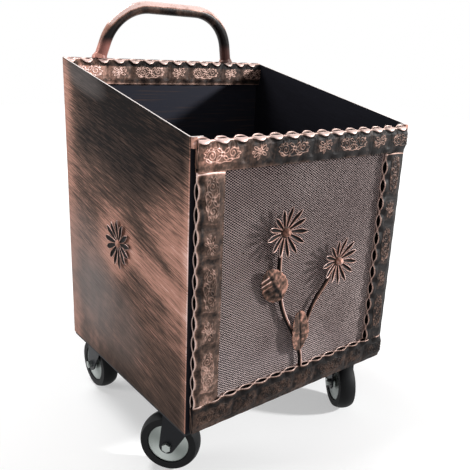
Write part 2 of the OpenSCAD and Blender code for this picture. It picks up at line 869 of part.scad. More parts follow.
// A wheel's hub tube with its two pressed discs
module rim(k, yaw) {
    bore_r = bush_d / 2 + run_clear;
    hub_l = fork_gap - 2 * hub_side_clear;
    color(zinc) on_axle(k, yaw) rotate_extrude() {
        translate([bore_r, -hub_l / 2]) square([hub_tube_r - bore_r, hub_l]);
        for (y = [-disc_gap / 2, disc_gap / 2 - disc_t]) translate([hub_tube_r - cut, y])
            square([disc_r - hub_tube_r + cut, disc_t]);
    }
}

// A solid tyre with a curved tread, gripped between the discs
module tyre(k, yaw) {
    grip = disc_gap - 2 * (disc_t + tyre_side);
    step_r = disc_r + tyre_step;
    color(rubber) on_axle(k, yaw) rotate_extrude() intersection() {
        union() {
            translate([tyre_bore_r, -grip / 2]) square([wheel_d / 2 - tyre_bore_r, grip]);
            translate([step_r, -tyre_w / 2]) square([wheel_d / 2 - step_r, tyre_w]);
        }
        union() {
            translate([wheel_d / 2 - crown_r, 0]) circle(crown_r);
            translate([tyre_bore_r, -tyre_w / 2]) square([disc_r + tyre_shoulder - tyre_bore_r, tyre_w]);
        }
    }
}

left_side_panel();
right_side_panel();
back_panel();
floor_panel();
base_frame();
front_band_top();
front_band_bottom();
front_band_left();
front_band_right();
back_band();
corner_tabs();
front_mesh();
handle();
stem_left();
stem_right();
leaf_upper();
leaf_lower();
daisy_left_petals();
daisy_left_boss();
daisy_right_petals();
daisy_right_boss();
side_daisy_left_petals();
side_daisy_left_boss();
side_daisy_right_petals();
side_daisy_right_boss();
caster_pads();
caster_bolts();
caster_plate(0);  // caster_plate_fl
fork(0, yaw_fl);  // fork_fl
axle_bolt(0, yaw_fl, -1);  // axle_bolt_fl
axle_nut(0, yaw_fl, -1);  // axle_nut_fl
bush(0, yaw_fl);  // bush_fl
rim(0, yaw_fl);  // rim_fl
tyre(0, yaw_fl);  // tyre_fl
caster_plate(1);  // caster_plate_fr
fork(1, yaw_fr);  // fork_fr
axle_bolt(1, yaw_fr, -1);  // axle_bolt_fr
axle_nut(1, yaw_fr, -1);  // axle_nut_fr
bush(1, yaw_fr);  // bush_fr
rim(1, yaw_fr);  // rim_fr
tyre(1, yaw_fr);  // tyre_fr
caster_plate(2);  // caster_plate_rl
fork(2, yaw_rl);  // fork_rl
axle_bolt(2, yaw_rl, 1);  // axle_bolt_rl
axle_nut(2, yaw_rl, 1);  // axle_nut_rl
bush(2, yaw_rl);  // bush_rl
rim(2, yaw_rl);  // rim_rl
tyre(2, yaw_rl);  // tyre_rl
caster_plate(3);  // caster_plate_rr
fork(3, yaw_rr);  // fork_rr
axle_bolt(3, yaw_rr, -1);  // axle_bolt_rr
axle_nut(3, yaw_rr, -1);  // axle_nut_rr
bush(3, yaw_rr);  // bush_rr
rim(3, yaw_rr);  // rim_rr
tyre(3, yaw_rr);  // tyre_rr
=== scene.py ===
"""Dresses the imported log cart: crimped and embossed bands, diamond mesh, wrought daisies, finishes."""
import json
import math

import bpy
import numpy as np
from mathutils import Matrix, Vector


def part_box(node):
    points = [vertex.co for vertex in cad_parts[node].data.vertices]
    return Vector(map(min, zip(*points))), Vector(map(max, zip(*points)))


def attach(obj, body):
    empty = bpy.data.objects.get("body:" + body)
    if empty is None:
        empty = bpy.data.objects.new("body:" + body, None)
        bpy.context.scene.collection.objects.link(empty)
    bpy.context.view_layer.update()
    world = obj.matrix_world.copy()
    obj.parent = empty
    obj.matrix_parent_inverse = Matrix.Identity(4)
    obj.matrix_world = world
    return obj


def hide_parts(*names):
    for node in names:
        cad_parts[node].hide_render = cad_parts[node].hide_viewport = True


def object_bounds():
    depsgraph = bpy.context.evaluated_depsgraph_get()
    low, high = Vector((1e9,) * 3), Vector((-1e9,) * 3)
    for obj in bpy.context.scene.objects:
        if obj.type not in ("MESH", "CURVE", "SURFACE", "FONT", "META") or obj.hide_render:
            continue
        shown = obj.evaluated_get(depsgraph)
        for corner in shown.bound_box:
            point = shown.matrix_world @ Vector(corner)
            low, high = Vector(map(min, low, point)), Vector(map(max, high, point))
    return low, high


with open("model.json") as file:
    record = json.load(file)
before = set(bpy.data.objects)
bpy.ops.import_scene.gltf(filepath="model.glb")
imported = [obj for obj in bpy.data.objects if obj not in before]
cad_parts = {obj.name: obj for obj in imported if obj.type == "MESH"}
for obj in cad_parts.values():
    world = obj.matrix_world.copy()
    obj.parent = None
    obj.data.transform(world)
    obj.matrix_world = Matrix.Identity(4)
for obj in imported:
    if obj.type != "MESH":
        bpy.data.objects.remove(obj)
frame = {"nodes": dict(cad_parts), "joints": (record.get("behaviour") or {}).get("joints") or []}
CAD_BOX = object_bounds()

bl_info = {
    "name": "Log Cart",
    "version": (1, 0, 0),
    "blender": (4, 5, 0),
    "location": "View3D > Sidebar > Log Cart",
    "description": "Builds the visible pieces and finishes of a wrought log cart",
    "category": "Object",
}

MM = 0.001
CASTERS = ("fl", "fr", "rl", "rr")


def srgb(red, green, blue):
    """A colour as it is seen, from 0 to 255, in the linear values that shaders take."""
    parts = [value / 255 for value in (red, green, blue)]
    linear = [p / 12.92 if p <= 0.04045 else ((p + 0.055) / 1.055) ** 2.4 for p in parts]
    return (*linear, 1.0)


def span(node):
    """Lowest corner, highest corner and middle of a node of the frame, in metres."""
    low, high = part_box(node)
    return np.array(low), np.array(high), (np.array(low) + np.array(high)) / 2


SIDE_LOW, SIDE_HIGH, SIDE_MIDDLE = span("left_side_panel")
BOX_Y = SIDE_MIDDLE[1]
FRONT_Y = SIDE_LOW[1]
BACK_Y = SIDE_HIGH[1]
SIDE_X = -SIDE_LOW[0]
# The top band ends this far below the side panels' rim, and gives its height at the front
BAND_DROP = 0.5 * MM
FRONT_RIM_Z = span("front_band_top")[1][2] + BAND_DROP
RIM_SLOPE = (SIDE_HIGH[2] - FRONT_RIM_Z) / (BACK_Y - FRONT_Y)
# What is fixed to the stems starts this far in front of them
STEM_SEAT = 0.2 * MM
STEM_FRONT_Y = span("stem_left")[0][1] - STEM_SEAT
CART_MIDDLE = sum((Vector(corner) for corner in CAD_BOX), Vector()) / 2


def length(label, words, value):
    """A size in millimetres, kept as metres."""
    return bpy.props.FloatProperty(name=label, description=words, default=value * MM, unit="LENGTH")


def colour(label, words, value):
    """A colour that a user may change."""
    return bpy.props.FloatVectorProperty(
        name=label, description=words, default=value, size=4, subtype="COLOR", min=0.0, max=1.0
    )


class LogCartBandSizes(bpy.types.PropertyGroup):
    """Sizes of the embossed bands."""

    pitch: length("Eye spacing", "Distance between the eyes of a crimped edge", 31.2)
    long_start: length("First eye, long bands", "From a long band's left end to its first eye", 8)
    side_start: length("First eye, uprights", "From an upright's upper end to its first eye", 25)
    eye: length("Eye length", "Length of an eye of the crimped edge", 25)
    open: length("Eye thickness", "Thickness of the band at the middle of an eye", 12)
    neck: length("Neck thickness", "Thickness of the band where its skins are pinched", 3)
    face: length("Face thickness", "Thickness of the band at its flat face", 9.4)
    skin: length("Skin", "Thickness of the band's skins", 1.5)
    crimp: length("Crimp depth", "How far a crimp runs in from the band's edge", 13)
    lip: length("Rolled lip", "Height of the front skin's rolled lip at an eye", 5.2)
    lip_out: length("Lip reach", "How far a rolled lip stands out from the band's middle", 7.2)
    mouth: length("Mouth", "How far a rolled lip's inner edge lies below the back skin's", 2.7)
    relief: length("Relief", "Height of the embossed lines", 1.1)
    line: length("Line width", "Width of the embossed lines", 0.95)
    motif_start: length("First motif", "From a band's end to the middle of its first motif", 36)
    motif_step: length("Motif spacing", "Distance between a long motif and the next short one", 64)
    step: length("Grid step", "Distance between the mesh's stations along a band", 0.8)


class LogCartMeshSizes(bpy.types.PropertyGroup):
    """Sizes of the diamond mesh."""

    long: length("Diamond length", "Length of a diamond from side to side", 6.2)
    short: length("Diamond height", "Height of a diamond", 3.8)
    strand: length("Strand", "Thickness of a strand", 0.68)
    overlap: length("Open overlap", "How far the diamonds run on behind the bands", 3)
    hem: length("Hem thickness", "Thickness of the plain hem round the mesh", 1.6)


class LogCartDaisySizes(bpy.types.PropertyGroup):
    """Sizes of the daisies and leaves."""

    petals: bpy.props.IntProperty(name="Petals", description="Petals on a daisy", default=13)
    root: length("Petal root", "Distance of a petal's root from the middle", 6)
    tip: length("Petal tip", "Distance of a petal's tip from the middle", 42)
    width: length("Petal width", "Width of a petal", 7.7)
    edge: length("Raised edge", "How far a petal's edges stand above its middle", 3.4)
    curl: length("Curl", "How far a petal's tip curls up", 4.5)
    rise: length("Rise", "How far a petal rises from its root to its tip", 3)
    sheet: length("Sheet", "Thickness of petals and leaves", 1.0)
    disc: length("Disc", "Radius of the disc under the boss", 9)
    boss: length("Boss", "Radius of the boss", 6.6)
    dome: length("Dome", "Height of the boss above its disc", 8.3)
    ridge: length("Ridge", "Height of the ridges across a leaf", 1.1)


class LogCartColours(bpy.types.PropertyGroup):
    """Colours of the finishes."""

    black: colour("Black", "The black paint under the copper", srgb(19, 16, 16))
    brown: colour("Brown", "Black paint with a trace of copper", srgb(80, 63, 55))
    copper: colour("Copper", "Copper rubbed over the black paint", srgb(176, 130, 114))
    rubbed: colour("Bright copper", "Copper on edges and high places", srgb(240, 208, 200))
    inside: colour("Inside", "The paint inside the box", srgb(42, 43, 51))
    strand: colour("Mesh", "The diamond mesh of the front", srgb(248, 229, 225))
    fork: colour("Fork", "The paint of the casters' forks", srgb(15, 17, 23))
    zinc: colour("Zinc", "Plated discs, bolts and nuts", srgb(172, 178, 175))
    rubber: colour("Rubber", "The tyres", srgb(10, 11, 13))
    floor: colour("Floor", "The floor and backdrop", srgb(204, 204, 204))


# The colour of the handle's feet, where the weld was cleaned
SALMON = srgb(226, 152, 140)
# The bands' bright copper, where it has dulled
DULL_COPPER = srgb(186, 168, 158)
# A side panel's upper edge, worn to the metal
BARE_EDGE = srgb(255, 244, 240)
# The mesh's darker strands, and the darker sectors of the painted radial sheen on the wheel discs
MESH_SHADE = srgb(148, 126, 124)
DISC_SHEEN_DARK = srgb(118, 124, 121)
# How deep the grain of the patina and of plain paint is
PATINA_GRAIN = 0.2 * MM
PAINT_GRAIN = 0.1 * MM


class Signal:
    """An output socket that arithmetic in Python turns into Math nodes."""

    def __init__(self, graph, socket):
        self.graph = graph
        self.socket = socket

    def __add__(self, other):
        return self.graph.maths("ADD", self, other)

    def __sub__(self, other):
        return self.graph.maths("SUBTRACT", self, other)

    def __rsub__(self, other):
        return self.graph.maths("SUBTRACT", other, self)

    def __mul__(self, other):
        return self.graph.maths("MULTIPLY", self, other)

    def __truediv__(self, other):
        return self.graph.maths("DIVIDE", self, other)

    def __pow__(self, other):
        return self.graph.maths("POWER", self, other)

    def __mod__(self, other):
        return self.graph.maths("FLOORED_MODULO", self, other)

    __radd__ = __add__
    __rmul__ = __mul__


class Graph:
    """Builds one node tree, of a material or of a modifier."""

    def __init__(self, tree):
        self.tree = tree

    def node(self, kind, inputs=None, output=0, **settings):
        """Adds a node with its settings, then its inputs, and gives one output as a Signal."""
        made = self.tree.nodes.new(kind)
        for name, value in settings.items():
            setattr(made, name, value)
        for key, value in (inputs or {}).items():
            self.feed(made.inputs[key], value)
        return Signal(self, made.outputs[output])

    def feed(self, socket, value):
        """Links a Signal to a socket, or sets the socket's own value."""
        if isinstance(value, Signal):
            self.tree.links.new(value.socket, socket)
        else:
            socket.default_value = value

    def maths(self, operation, first, second=0.0):
        """One Math node."""
        return self.node("ShaderNodeMath", {0: first, 1: second}, operation=operation)

    def smooth(self, value, low, high):
        """0 where value is at low, 1 where it is at high, with soft ends."""
        inputs = {"Value": value, "From Min": low, "From Max": high}
        return self.node("ShaderNodeMapRange", inputs, interpolation_type="SMOOTHSTEP")

    def limited(self, value):
        """A value kept between 0 and 1."""
        return self.node("ShaderNodeClamp", {"Value": value})

    def blend(self, factor, first, second):
        """A colour between two others."""
        return self.node("ShaderNodeMix", {0: factor, 6: first, 7: second}, 2, data_type="RGBA")

    def vector(self, x, y, z):
        """A vector from three values."""
        return self.node("ShaderNodeCombineXYZ", {0: x, 1: y, 2: z})

    def euler(self, x, y, z):
        """A rotation from its turns about three axes."""
        return self.node("FunctionNodeEulerToRotation", {0: self.vector(x, y, z)})

    def parts(self, vector):
        """The three values of a vector."""
        return [self.node("ShaderNodeSeparateXYZ", {0: vector}, axis) for axis in range(3)]


class Paint(Graph):
    """Builds a material on one Principled shader."""

    def __init__(self, name, **plain):
        self.material = bpy.data.materials.new(name)
        self.material.use_nodes = True
        super().__init__(self.material.node_tree)
        self.colours = bpy.context.scene.log_cart_colours
        self.set(**{"Specular_IOR_Level": 0.15, **plain})

    def set(self, **sockets):
        """Feeds the shader's own sockets."""
        shader = self.tree.nodes["Principled BSDF"]
        for label, value in sockets.items():
            self.feed(shader.inputs[label.replace("_", " ")], value)

    def place(self):
        """Object coordinates, in metres."""
        return self.node("ShaderNodeTexCoord", output="Object")

    def noise(self, vector, scale, detail=3.0, rough=0.55):
        """Noise from 0 to 1 at a vector."""
        inputs = {"Vector": vector, "Scale": scale, "Detail": detail, "Roughness": rough}
        return self.node("ShaderNodeTexNoise", inputs)

    def bump(self, height, distance):
        """A normal from a height of 0 to 1 that stands for a distance in metres."""
        return self.node("ShaderNodeBump", {"Height": height, "Distance": distance}, "Normal")

    def attribute(self, name):
        """A number that a piece's mesh carries."""
        return self.node("ShaderNodeAttribute", output="Fac", attribute_name=name)

    def facing(self, axis):
        """1 where the surface faces along an axis, 2 for up, and -1 where it faces the other way."""
        return self.parts(self.node("ShaderNodeNewGeometry", output="Normal"))[axis]

    def worn_colour(self, shown):
        """From black through brown and copper to bright copper as shown goes from 0 to 1."""
        colours = self.colours
        dark = self.blend(self.smooth(shown, 0.0, 0.4), colours.black, colours.brown)
        warm = self.blend(self.smooth(shown, 0.3, 0.72), dark, colours.copper)
        return self.blend(self.smooth(shown, 0.72, 1.0), warm, colours.rubbed)

    def patina(self, worn, grain, gloss=0.0, flush=0.0, tint=SALMON):
        """Copper over black: worn says how much copper shows, grain breaks it up, flush tints it."""
        shown = self.limited(worn + (grain - 0.5) * 0.45)
        self.set(
            Base_Color=self.blend(flush, self.worn_colour(shown), tint),
            Metallic=shown * 0.3,
            Roughness=0.5 - gloss - shown * 0.1 + (grain - 0.5) * 0.12,
            Normal=self.bump(grain, PATINA_GRAIN),
        )
        return self.material


# In all the paints, places and the edges of masks are in metres
def plain_paint(name, base, rough, metallic=0.0, scale=180.0):
    """A paint or metal of one colour, with a fine uneven surface."""
    paint = Paint(name, Metallic=metallic)
    grain = paint.noise(paint.place(), scale)
    tone = paint.noise(paint.place(), scale / 12)
    darker = (*(part * 0.72 for part in base[:3]), 1.0)
    paint.set(
        Base_Color=paint.blend(tone, darker, base),
        Roughness=rough + (grain - 0.5) * 0.14,
        Normal=paint.bump(grain, PAINT_GRAIN),
    )
    return paint.material


# Where the copper is wiped on the side panels, in millimetres from the box's middle and from the
# ground: y, z, half the length along the brush, half the height across it, and how much
WIPED = (
    (10, 360, 60, 54, 0.28),
    (-185, 270, 52, 34, 0.16),
    (-178, 498, 60, 32, 0.16),
    (140, 150, 70, 46, 0.05),
    (-175, 420, 84, 50, 0.24),
    (-125, 330, 115, 24, 0.26),
    (-190, 370, 60, 30, 0.08),
    (-90, 190, 130, 60, 0.1),
    (110, 320, 110, 40, 0.1),
    (120, 200, 120, 70, 0.08),
    (-60, 460, 90, 50, -0.06),
    (60, 480, 110, 40, -0.08),
    (172, 560, 60, 60, 0.16),
)
# Where a grey haze lies over their copper, in the same terms: partly the paint's own bloom and partly a
# painted reflection of the sky, strongest at the upper back corner
BLOOM_AND_SKY_SHEEN = ((60, 225, 120, 70, 0.34), (150, 250, 110, 120, 0.42), (120, 606, 70, 20, 0.46))
BLOOM_AND_SHEEN_GREY = srgb(114, 107, 105)
BRUSH_LEAN = math.radians(13)
# How deep in a sheet its outer finish starts, and where it is whole
SKIN_START = 1.1 * MM
SKIN_END = 0.7 * MM


def side_panel_paint():
    """Brushed copper on a side panel's outside, with a grey haze partly painted reflection, painted shade
    low at the front, black inside and a bare upper edge.
    """
    paint = Paint("side_panel_patina_and_painted_light", Specular_IOR_Level=0.02)
    colours = paint.colours
    place = paint.place()
    x, y, z = paint.parts(place)
    lean_cos, lean_sin = math.cos(BRUSH_LEAN), math.sin(BRUSH_LEAN)
    along = (y - BOX_Y) * lean_cos + z * lean_sin
    across = z * lean_cos - (y - BOX_Y) * lean_sin
    hairs = paint.noise(paint.vector(x * 3, along * 26, across * 760), 1.0, 3.0, 0.7)
    strokes = paint.noise(paint.vector(x * 2, along * 4.5, across * 75), 1.0, 3.0)
    clouds = paint.noise(paint.vector(x, along * 6, across * 13), 1.0, 2.0)
    blotches = paint.noise(place, 42.0, 4.0)

    def patches(table):
        """The sum of soft ovals that lie along the brush."""
        total = 0.0
        for at_y, at_z, half_l, half_h, much in table:
            far = (along - (at_y * lean_cos + at_z * lean_sin) * MM) / (half_l * MM)
            off = (across - (at_z * lean_cos - at_y * lean_sin) * MM) / (half_h * MM)
            total = paint.smooth(far * far + off * off, 2.0, 0.0) * much + total
        return total

    below_rim = FRONT_RIM_Z + (y - FRONT_Y) * RIM_SLOPE - z
    back_edge = paint.smooth(y, BACK_Y - 0.06, BACK_Y)
    top = paint.smooth(below_rim, 0.17, 0.03) * (1.0 - back_edge)
    # Darker towards the bottom and most at the front: painted shade
    low = paint.smooth(z, 0.33, 0.12)
    low_front_painted_shade = low * paint.smooth(y, 0.12, -0.12)
    low_back = paint.smooth(z, 0.36, 0.24) * paint.smooth(y, -0.1, 0.04)
    by_fold = paint.smooth(y, FRONT_Y + 20 * MM, FRONT_Y + 4 * MM)
    fold = paint.smooth(y, FRONT_Y + 3.5 * MM, FRONT_Y + 1.5 * MM)
    worn = 0.33 + (clouds - 0.5) * 0.35 + patches(WIPED)
    worn = worn + back_edge * 0.2 + by_fold * 0.16 - top * 0.3 - low * 0.04 - low_front_painted_shade * 0.12
    worn = worn + low_back * (blotches - 0.5) * 0.4
    worn = worn + (strokes - 0.5) * (0.12 + worn * 0.2)
    worn = worn + (hairs - 0.5) * (1.2 - low * 0.35 - low_back * 0.55)
    worn = paint.maths("MINIMUM", worn, 0.84) + fold * 0.3
    from_middle = paint.maths("ABSOLUTE", x)
    outer = paint.smooth(from_middle, SIDE_X - SKIN_START, SIDE_X - SKIN_END)
    flange = paint.smooth(y, FRONT_Y + 1.2 * MM, FRONT_Y + 0.8 * MM)
    flange = flange * paint.smooth(from_middle, SIDE_X - 1.6 * MM, SIDE_X - 2.6 * MM)
    seen = outer * (1.0 - flange)
    shown = paint.limited(worn) * seen
    dark = paint.blend(hairs * 0.7, colours.inside, colours.black)
    # Grey haze, partly the paint's bloom and partly a painted reflection of the sky
    bloom_and_sheen = patches(BLOOM_AND_SKY_SHEEN) * (0.4 + hairs * 1.2)
    base = paint.blend(seen, dark, paint.blend(bloom_and_sheen, paint.worn_colour(shown), BLOOM_AND_SHEEN_GREY))
    paint.set(
        Base_Color=paint.blend(paint.smooth(below_rim, 0.6 * MM, 0.1 * MM), base, BARE_EDGE),
        Metallic=shown * 0.25,
        Roughness=0.5 - shown * 0.08 + (hairs - 0.5) * 0.2,
        Normal=paint.bump(hairs, PATINA_GRAIN),
    )
    return paint.material


def inside_paint():
    """Black paint with faint level brush marks, and brushed copper on the back's outside."""
    paint = Paint("inside_black", Specular_IOR_Level=0.02)
    x, y, z = paint.parts(paint.place())
    hairs = paint.noise(paint.vector(x * 9, y * 9, z * 260), 1.0, 4.0)
    clouds = paint.noise(paint.vector(x * 5, y, z * 11), 1.0, 2.0)
    marks = paint.smooth(hairs, 0.5, 0.8) * 0.6
    black = paint.blend(marks, paint.colours.inside, paint.colours.brown)
    worn = paint.limited(0.34 + (clouds - 0.5) * 0.7 + (hairs - 0.5) * 0.9)
    outer = paint.smooth(y, BACK_Y - SKIN_START, BACK_Y - SKIN_END)
    paint.set(
        Base_Color=paint.blend(outer, black, paint.worn_colour(worn)),
        Roughness=0.5 + (hairs - 0.5) * 0.2,
        Normal=paint.bump(hairs, PAINT_GRAIN),
    )
    return paint.material


def rubbed_paint(name, ground, painted_light=0.0, uneven=0.4, scale=34.0):
    """Patina for wrought pieces, from the wear and painted shade that a piece's mesh carries, plus painted
    light on faces turned to +X and up.
    """
    paint = Paint(name, Specular_IOR_Level=0.06)
    place = paint.place()
    grain = paint.noise(place, 260.0, 4.0)
    clouds = paint.noise(place, scale, 2.0)
    worn = paint.attribute("wear") + (clouds - 0.5) * uneven + ground
    # Painted light on faces turned to +X and, less, on those turned up
    return paint.patina(worn + (paint.facing(0) + paint.facing(2) * 0.3) * painted_light, grain)


def band_paint():
    """The bands: bright lines and lips on dark brown, painted shade in their hollows and slots, and more
    copper at the upper left corner.
    """
    paint = Paint("band_patina_painted_shade", Specular_IOR_Level=0.08)
    place = paint.place()
    x, _, z = paint.parts(place)
    grain = paint.noise(place, 260.0, 4.0)
    clouds = paint.noise(place, 26.0, 3.0)
    mottle = paint.noise(place, 95.0, 3.0)
    corner = paint.smooth(x, -0.06, -0.2) * paint.smooth(z, 0.49, 0.515)
    lower_left = paint.smooth(x, -0.1, -0.2) * paint.smooth(z, 0.36, 0.2)
    right = paint.smooth(x, 0.02, 0.2)
    worn = paint.attribute("wear") + (clouds - 0.5) * 0.5 + (mottle - 0.5) * 0.6
    worn = worn + corner * 0.37 + lower_left * 0.12 - right * 0.06
    dull = (1.0 - corner) * paint.smooth(worn, 0.3, 0.7) * 0.45
    return paint.patina(worn, grain, flush=dull, tint=DULL_COPPER)


def handle_paint():
    """The handle: a painted highlight on top, black below, redder at its feet and darker on its legs."""
    paint = Paint("handle_patina_painted_highlight")
    place = paint.place()
    x, _, z = paint.parts(place)
    grain = paint.noise(place, 300.0, 4.0)
    clouds = paint.noise(place, 34.0, 3.0)
    low, high = (corner[2] for corner in span("handle")[:2])
    feet = paint.smooth(z, low + 36 * MM, low + 18 * MM)
    legs = paint.smooth(z, high - 30 * MM, high - 70 * MM)
    right_leg = paint.smooth(x, 0.06, 0.1)
    left_leg = paint.smooth(x, 0.0, -0.1)
    # Painted highlight on faces turned up, and a little on those turned to -X
    painted_light = paint.smooth(paint.facing(2) * 0.95 - paint.facing(0) * 0.12, 0.0, 0.36)
    worn = 0.2 + painted_light * 0.86 + (clouds - 0.5) * 1.1 - right_leg * 0.1 - legs * 0.5
    flush = feet * (0.08 + left_leg * 0.32)
    return paint.patina(worn + feet * 0.08, grain, gloss=0.16, flush=flush)


def mesh_paint():
    """The diamond mesh: pale and pink where the brush passed, dark behind."""
    paint = Paint("diamond_mesh", Roughness=0.42, Metallic=0.3)
    place = paint.place()
    y = paint.parts(place)[1]
    clouds = paint.noise(place, 9.0, 3.0)
    middle = span("front_mesh")[2][1]
    front = paint.smooth(y, middle + 0.3 * MM, middle - 0.2 * MM)
    pale = paint.blend(clouds, MESH_SHADE, paint.colours.strand)
    paint.set(Base_Color=paint.blend(front, paint.colours.black, pale))
    return paint.material


def disc_paint():
    """Zinc plated discs with a soft radial sheen painted into their colour."""
    paint = Paint("zinc_disc_painted_sheen", Metallic=0.85)
    grain = paint.noise(paint.place(), 420.0, 3.0)
    # Painted sheen: the colour goes lighter and darker round the axle
    painted_sheen = paint.maths("SINE", paint.attribute("turn") * 2 + 0.6) * 0.5 + 0.5
    paint.set(
        Base_Color=paint.blend(painted_sheen, DISC_SHEEN_DARK, paint.colours.zinc),
        Roughness=0.38 + (grain - 0.5) * 0.12,
    )
    return paint.material


def new_piece(name, points, faces, slot, body, *nodes, material, smooth=True, **numbers):
    """A piece from points in metres and faces, riding on a body in place of nodes.

    Each of the numbers is stored on the points of its mesh, for its material.
    """
    mesh = bpy.data.meshes.new(name)
    mesh.from_pydata([tuple(p) for p in points], [], [tuple(f) for f in faces])
    mesh.update()
    piece = bpy.data.objects.new(name, mesh)
    bpy.context.scene.collection.objects.link(piece)
    settle(piece, slot, body, *nodes, material=material, smooth=smooth)
    for label, values in numbers.items():
        layer = mesh.attributes.new(label, "FLOAT", "POINT")
        layer.data.foreach_set("value", np.asarray(values, dtype=np.float32))


def settle(piece, slot, body, *nodes, material, smooth=True):
    """Gives a finished piece its finish, its body and the nodes that it stands for."""
    if not piece.data.materials:
        piece.data.materials.append(material)
    if smooth:
        piece.data.shade_smooth()
    else:
        piece.data.shade_flat()
    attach(piece, body)
    if nodes:
        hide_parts(*nodes)


def ring_faces(rings, around, closed=False):
    """Quads of a tube of rings, open at its two ends or closed from its last ring to its first."""
    quads = []
    for k in range(rings if closed else rings - 1):
        i, j = k * around, (k + 1) % rings * around
        for a in range(around):
            b = (a + 1) % around
            quads.append((i + a, i + b, j + b, j + a))
    return quads


def turned_rings(profile, around):
    """Points round the Z axis, a ring for each (radius, height) of a profile."""
    angles = [2 * math.pi * k / around for k in range(around)]
    circle = [(math.cos(angle), math.sin(angle)) for angle in angles]
    return [(radius * x, radius * y, height) for radius, height in profile for x, y in circle]


def lathe(profile, around):
    """Points and faces of a closed turned shape whose profile of (radius, height) ends on the axis."""
    points = [(0, 0, profile[0][1]), *turned_rings(profile[1:-1], around), (0, 0, profile[-1][1])]
    rings = len(profile) - 2
    last = len(points) - 1
    outer = last - around
    faces = [(0, 1 + (k + 1) % around, 1 + k) for k in range(around)]
    faces += [tuple(corner + 1 for corner in face) for face in ring_faces(rings, around)]
    faces += [(outer + k, outer + (k + 1) % around, last) for k in range(around)]
    return np.array(points, dtype=float), faces


def grown(name, build, sizes, material):
    """A mesh object made by a Geometry Nodes tree with named inputs, then made plain."""
    tree = bpy.data.node_groups.new(name, "GeometryNodeTree")
    tree.interface.new_socket("Geometry", in_out="OUTPUT", socket_type="NodeSocketGeometry")
    sockets = {}
    for label, value in sizes.items():
        kind = "NodeSocketInt" if isinstance(value, int) else "NodeSocketFloat"
        sockets[label] = tree.interface.new_socket(label, in_out="INPUT", socket_type=kind)
    graph = Graph(tree)
    given = tree.nodes.new("NodeGroupInput")
    shape = build(graph, {label: Signal(graph, given.outputs[label]) for label in sizes})
    whole = graph.node("GeometryNodeRealizeInstances", {"Geometry": shape})
    painted = graph.node("GeometryNodeSetMaterial", {"Geometry": whole, "Material": material})
    out = tree.nodes.new("NodeGroupOutput")
    graph.feed(out.inputs["Geometry"], painted)
    host = bpy.data.objects.new(name, bpy.data.meshes.new(name))
    bpy.context.scene.collection.objects.link(host)
    modifier = host.modifiers.new(name, "NODES")
    modifier.node_group = tree
    for label, value in sizes.items():
        modifier[sockets[label].identifier] = value
    bpy.context.view_layer.update()
    seen = host.evaluated_get(bpy.context.evaluated_depsgraph_get())
    mesh = bpy.data.meshes.new_from_object(seen)
    host.modifiers.remove(modifier)
    host.data = mesh
    return host


def spiral(middle, radius, start, turns, hand):
    """Points of a scroll that winds in to its middle."""
    t = np.linspace(0, 1, 90)
    angle = start + hand * t * turns * 2 * math.pi
    reach = radius * (1 - 0.8 * t)
    return np.stack([middle[0] + reach * np.cos(angle), middle[1] + reach * np.sin(angle)], axis=1)


def lobed_ring(middle, wide, tall, lobes, depth):
    """Points of an oval ring with a lobed outline."""
    angle = np.linspace(0, 2 * math.pi, 420)
    reach = 1 + depth * np.cos(lobes * angle)
    x = middle[0] + wide * reach * np.cos(angle)
    return np.stack([x, middle[1] + tall * reach * np.sin(angle)], axis=1)


def pointed_loop(middle, long, wide, angle):
    """Points of a leaf-shaped loop."""
    t = np.linspace(0, 2 * math.pi, 90)
    x = long / 2 * np.cos(t)
    y = wide / 2 * np.sin(t) * np.abs(np.sin(t)) ** 0.6
    turn = math.radians(angle)
    across = x * math.sin(turn) + y * math.cos(turn)
    return np.stack([middle[0] + x * math.cos(turn) - y * math.sin(turn), middle[1] + across], axis=1)


# The long and the short motif, in millimetres, radians and degrees. Each has the rings at its middle,
# with half their width and height, their lobes and how deep these are, and then what stands on its
# right half and, turned about the middle, on its left: scrolls, with their middle, radius, the angles
# where they start on the left and on the right, turns and hand, and leaves, with their middle,
# length, width and slope
LONG_MOTIF = (
    ((28.5, 10.6, 11, 0.075), (2.6, 2.6, 5, 0.2)),
    (
        (17.0, 1.2, 7.2, (math.pi, 0.0), 1.5, 1),
        (25.0, -4.6, 3.0, (0.4, 0.4), 1.0, -1),
        (9.6, 9.6, 2.6, (1.2, 1.2), 0.9, 1),
    ),
    (
        (6.4, 4.4, 10, 4.4, 38),
        (5.2, -5.2, 9, 4.0, -30),
        (11.0, -8.2, 11, 3.4, 12),
        (22.0, 8.0, 10, 3.2, -24),
    ),
)
SHORT_MOTIF = (
    ((3.8, 3.8, 5, 0.24), (1.2, 1.2, 1, 0)),
    ((12.4, 1.0, 2.8, (0.3, 0.3), 1.1, 1),),
    ((7.0, 4.8, 9.5, 4.2, 35), (7.4, -4.0, 9.0, 3.8, -25), (2.6, 8.6, 8, 3.0, 70)),
)


def motif_lines(rings, scrolls, leaves):
    """Points along all the lines of a motif."""
    lines = [lobed_ring((0, 0), *ring) for ring in rings]
    for side in (-1, 1):
        for x, z, radius, starts, turns, hand in scrolls:
            lines.append(spiral((side * x, side * z), radius, starts[side > 0], turns, side * hand))
        lines += [pointed_loop((side * x, side * z), *shape) for x, z, *shape in leaves]
    return np.concatenate(lines)


# The grid that a motif's heights are kept on: its step, and how far it reaches each way
FIELD_STEP = 0.3 * MM
FIELD_REACH = (36 * MM, 16 * MM)


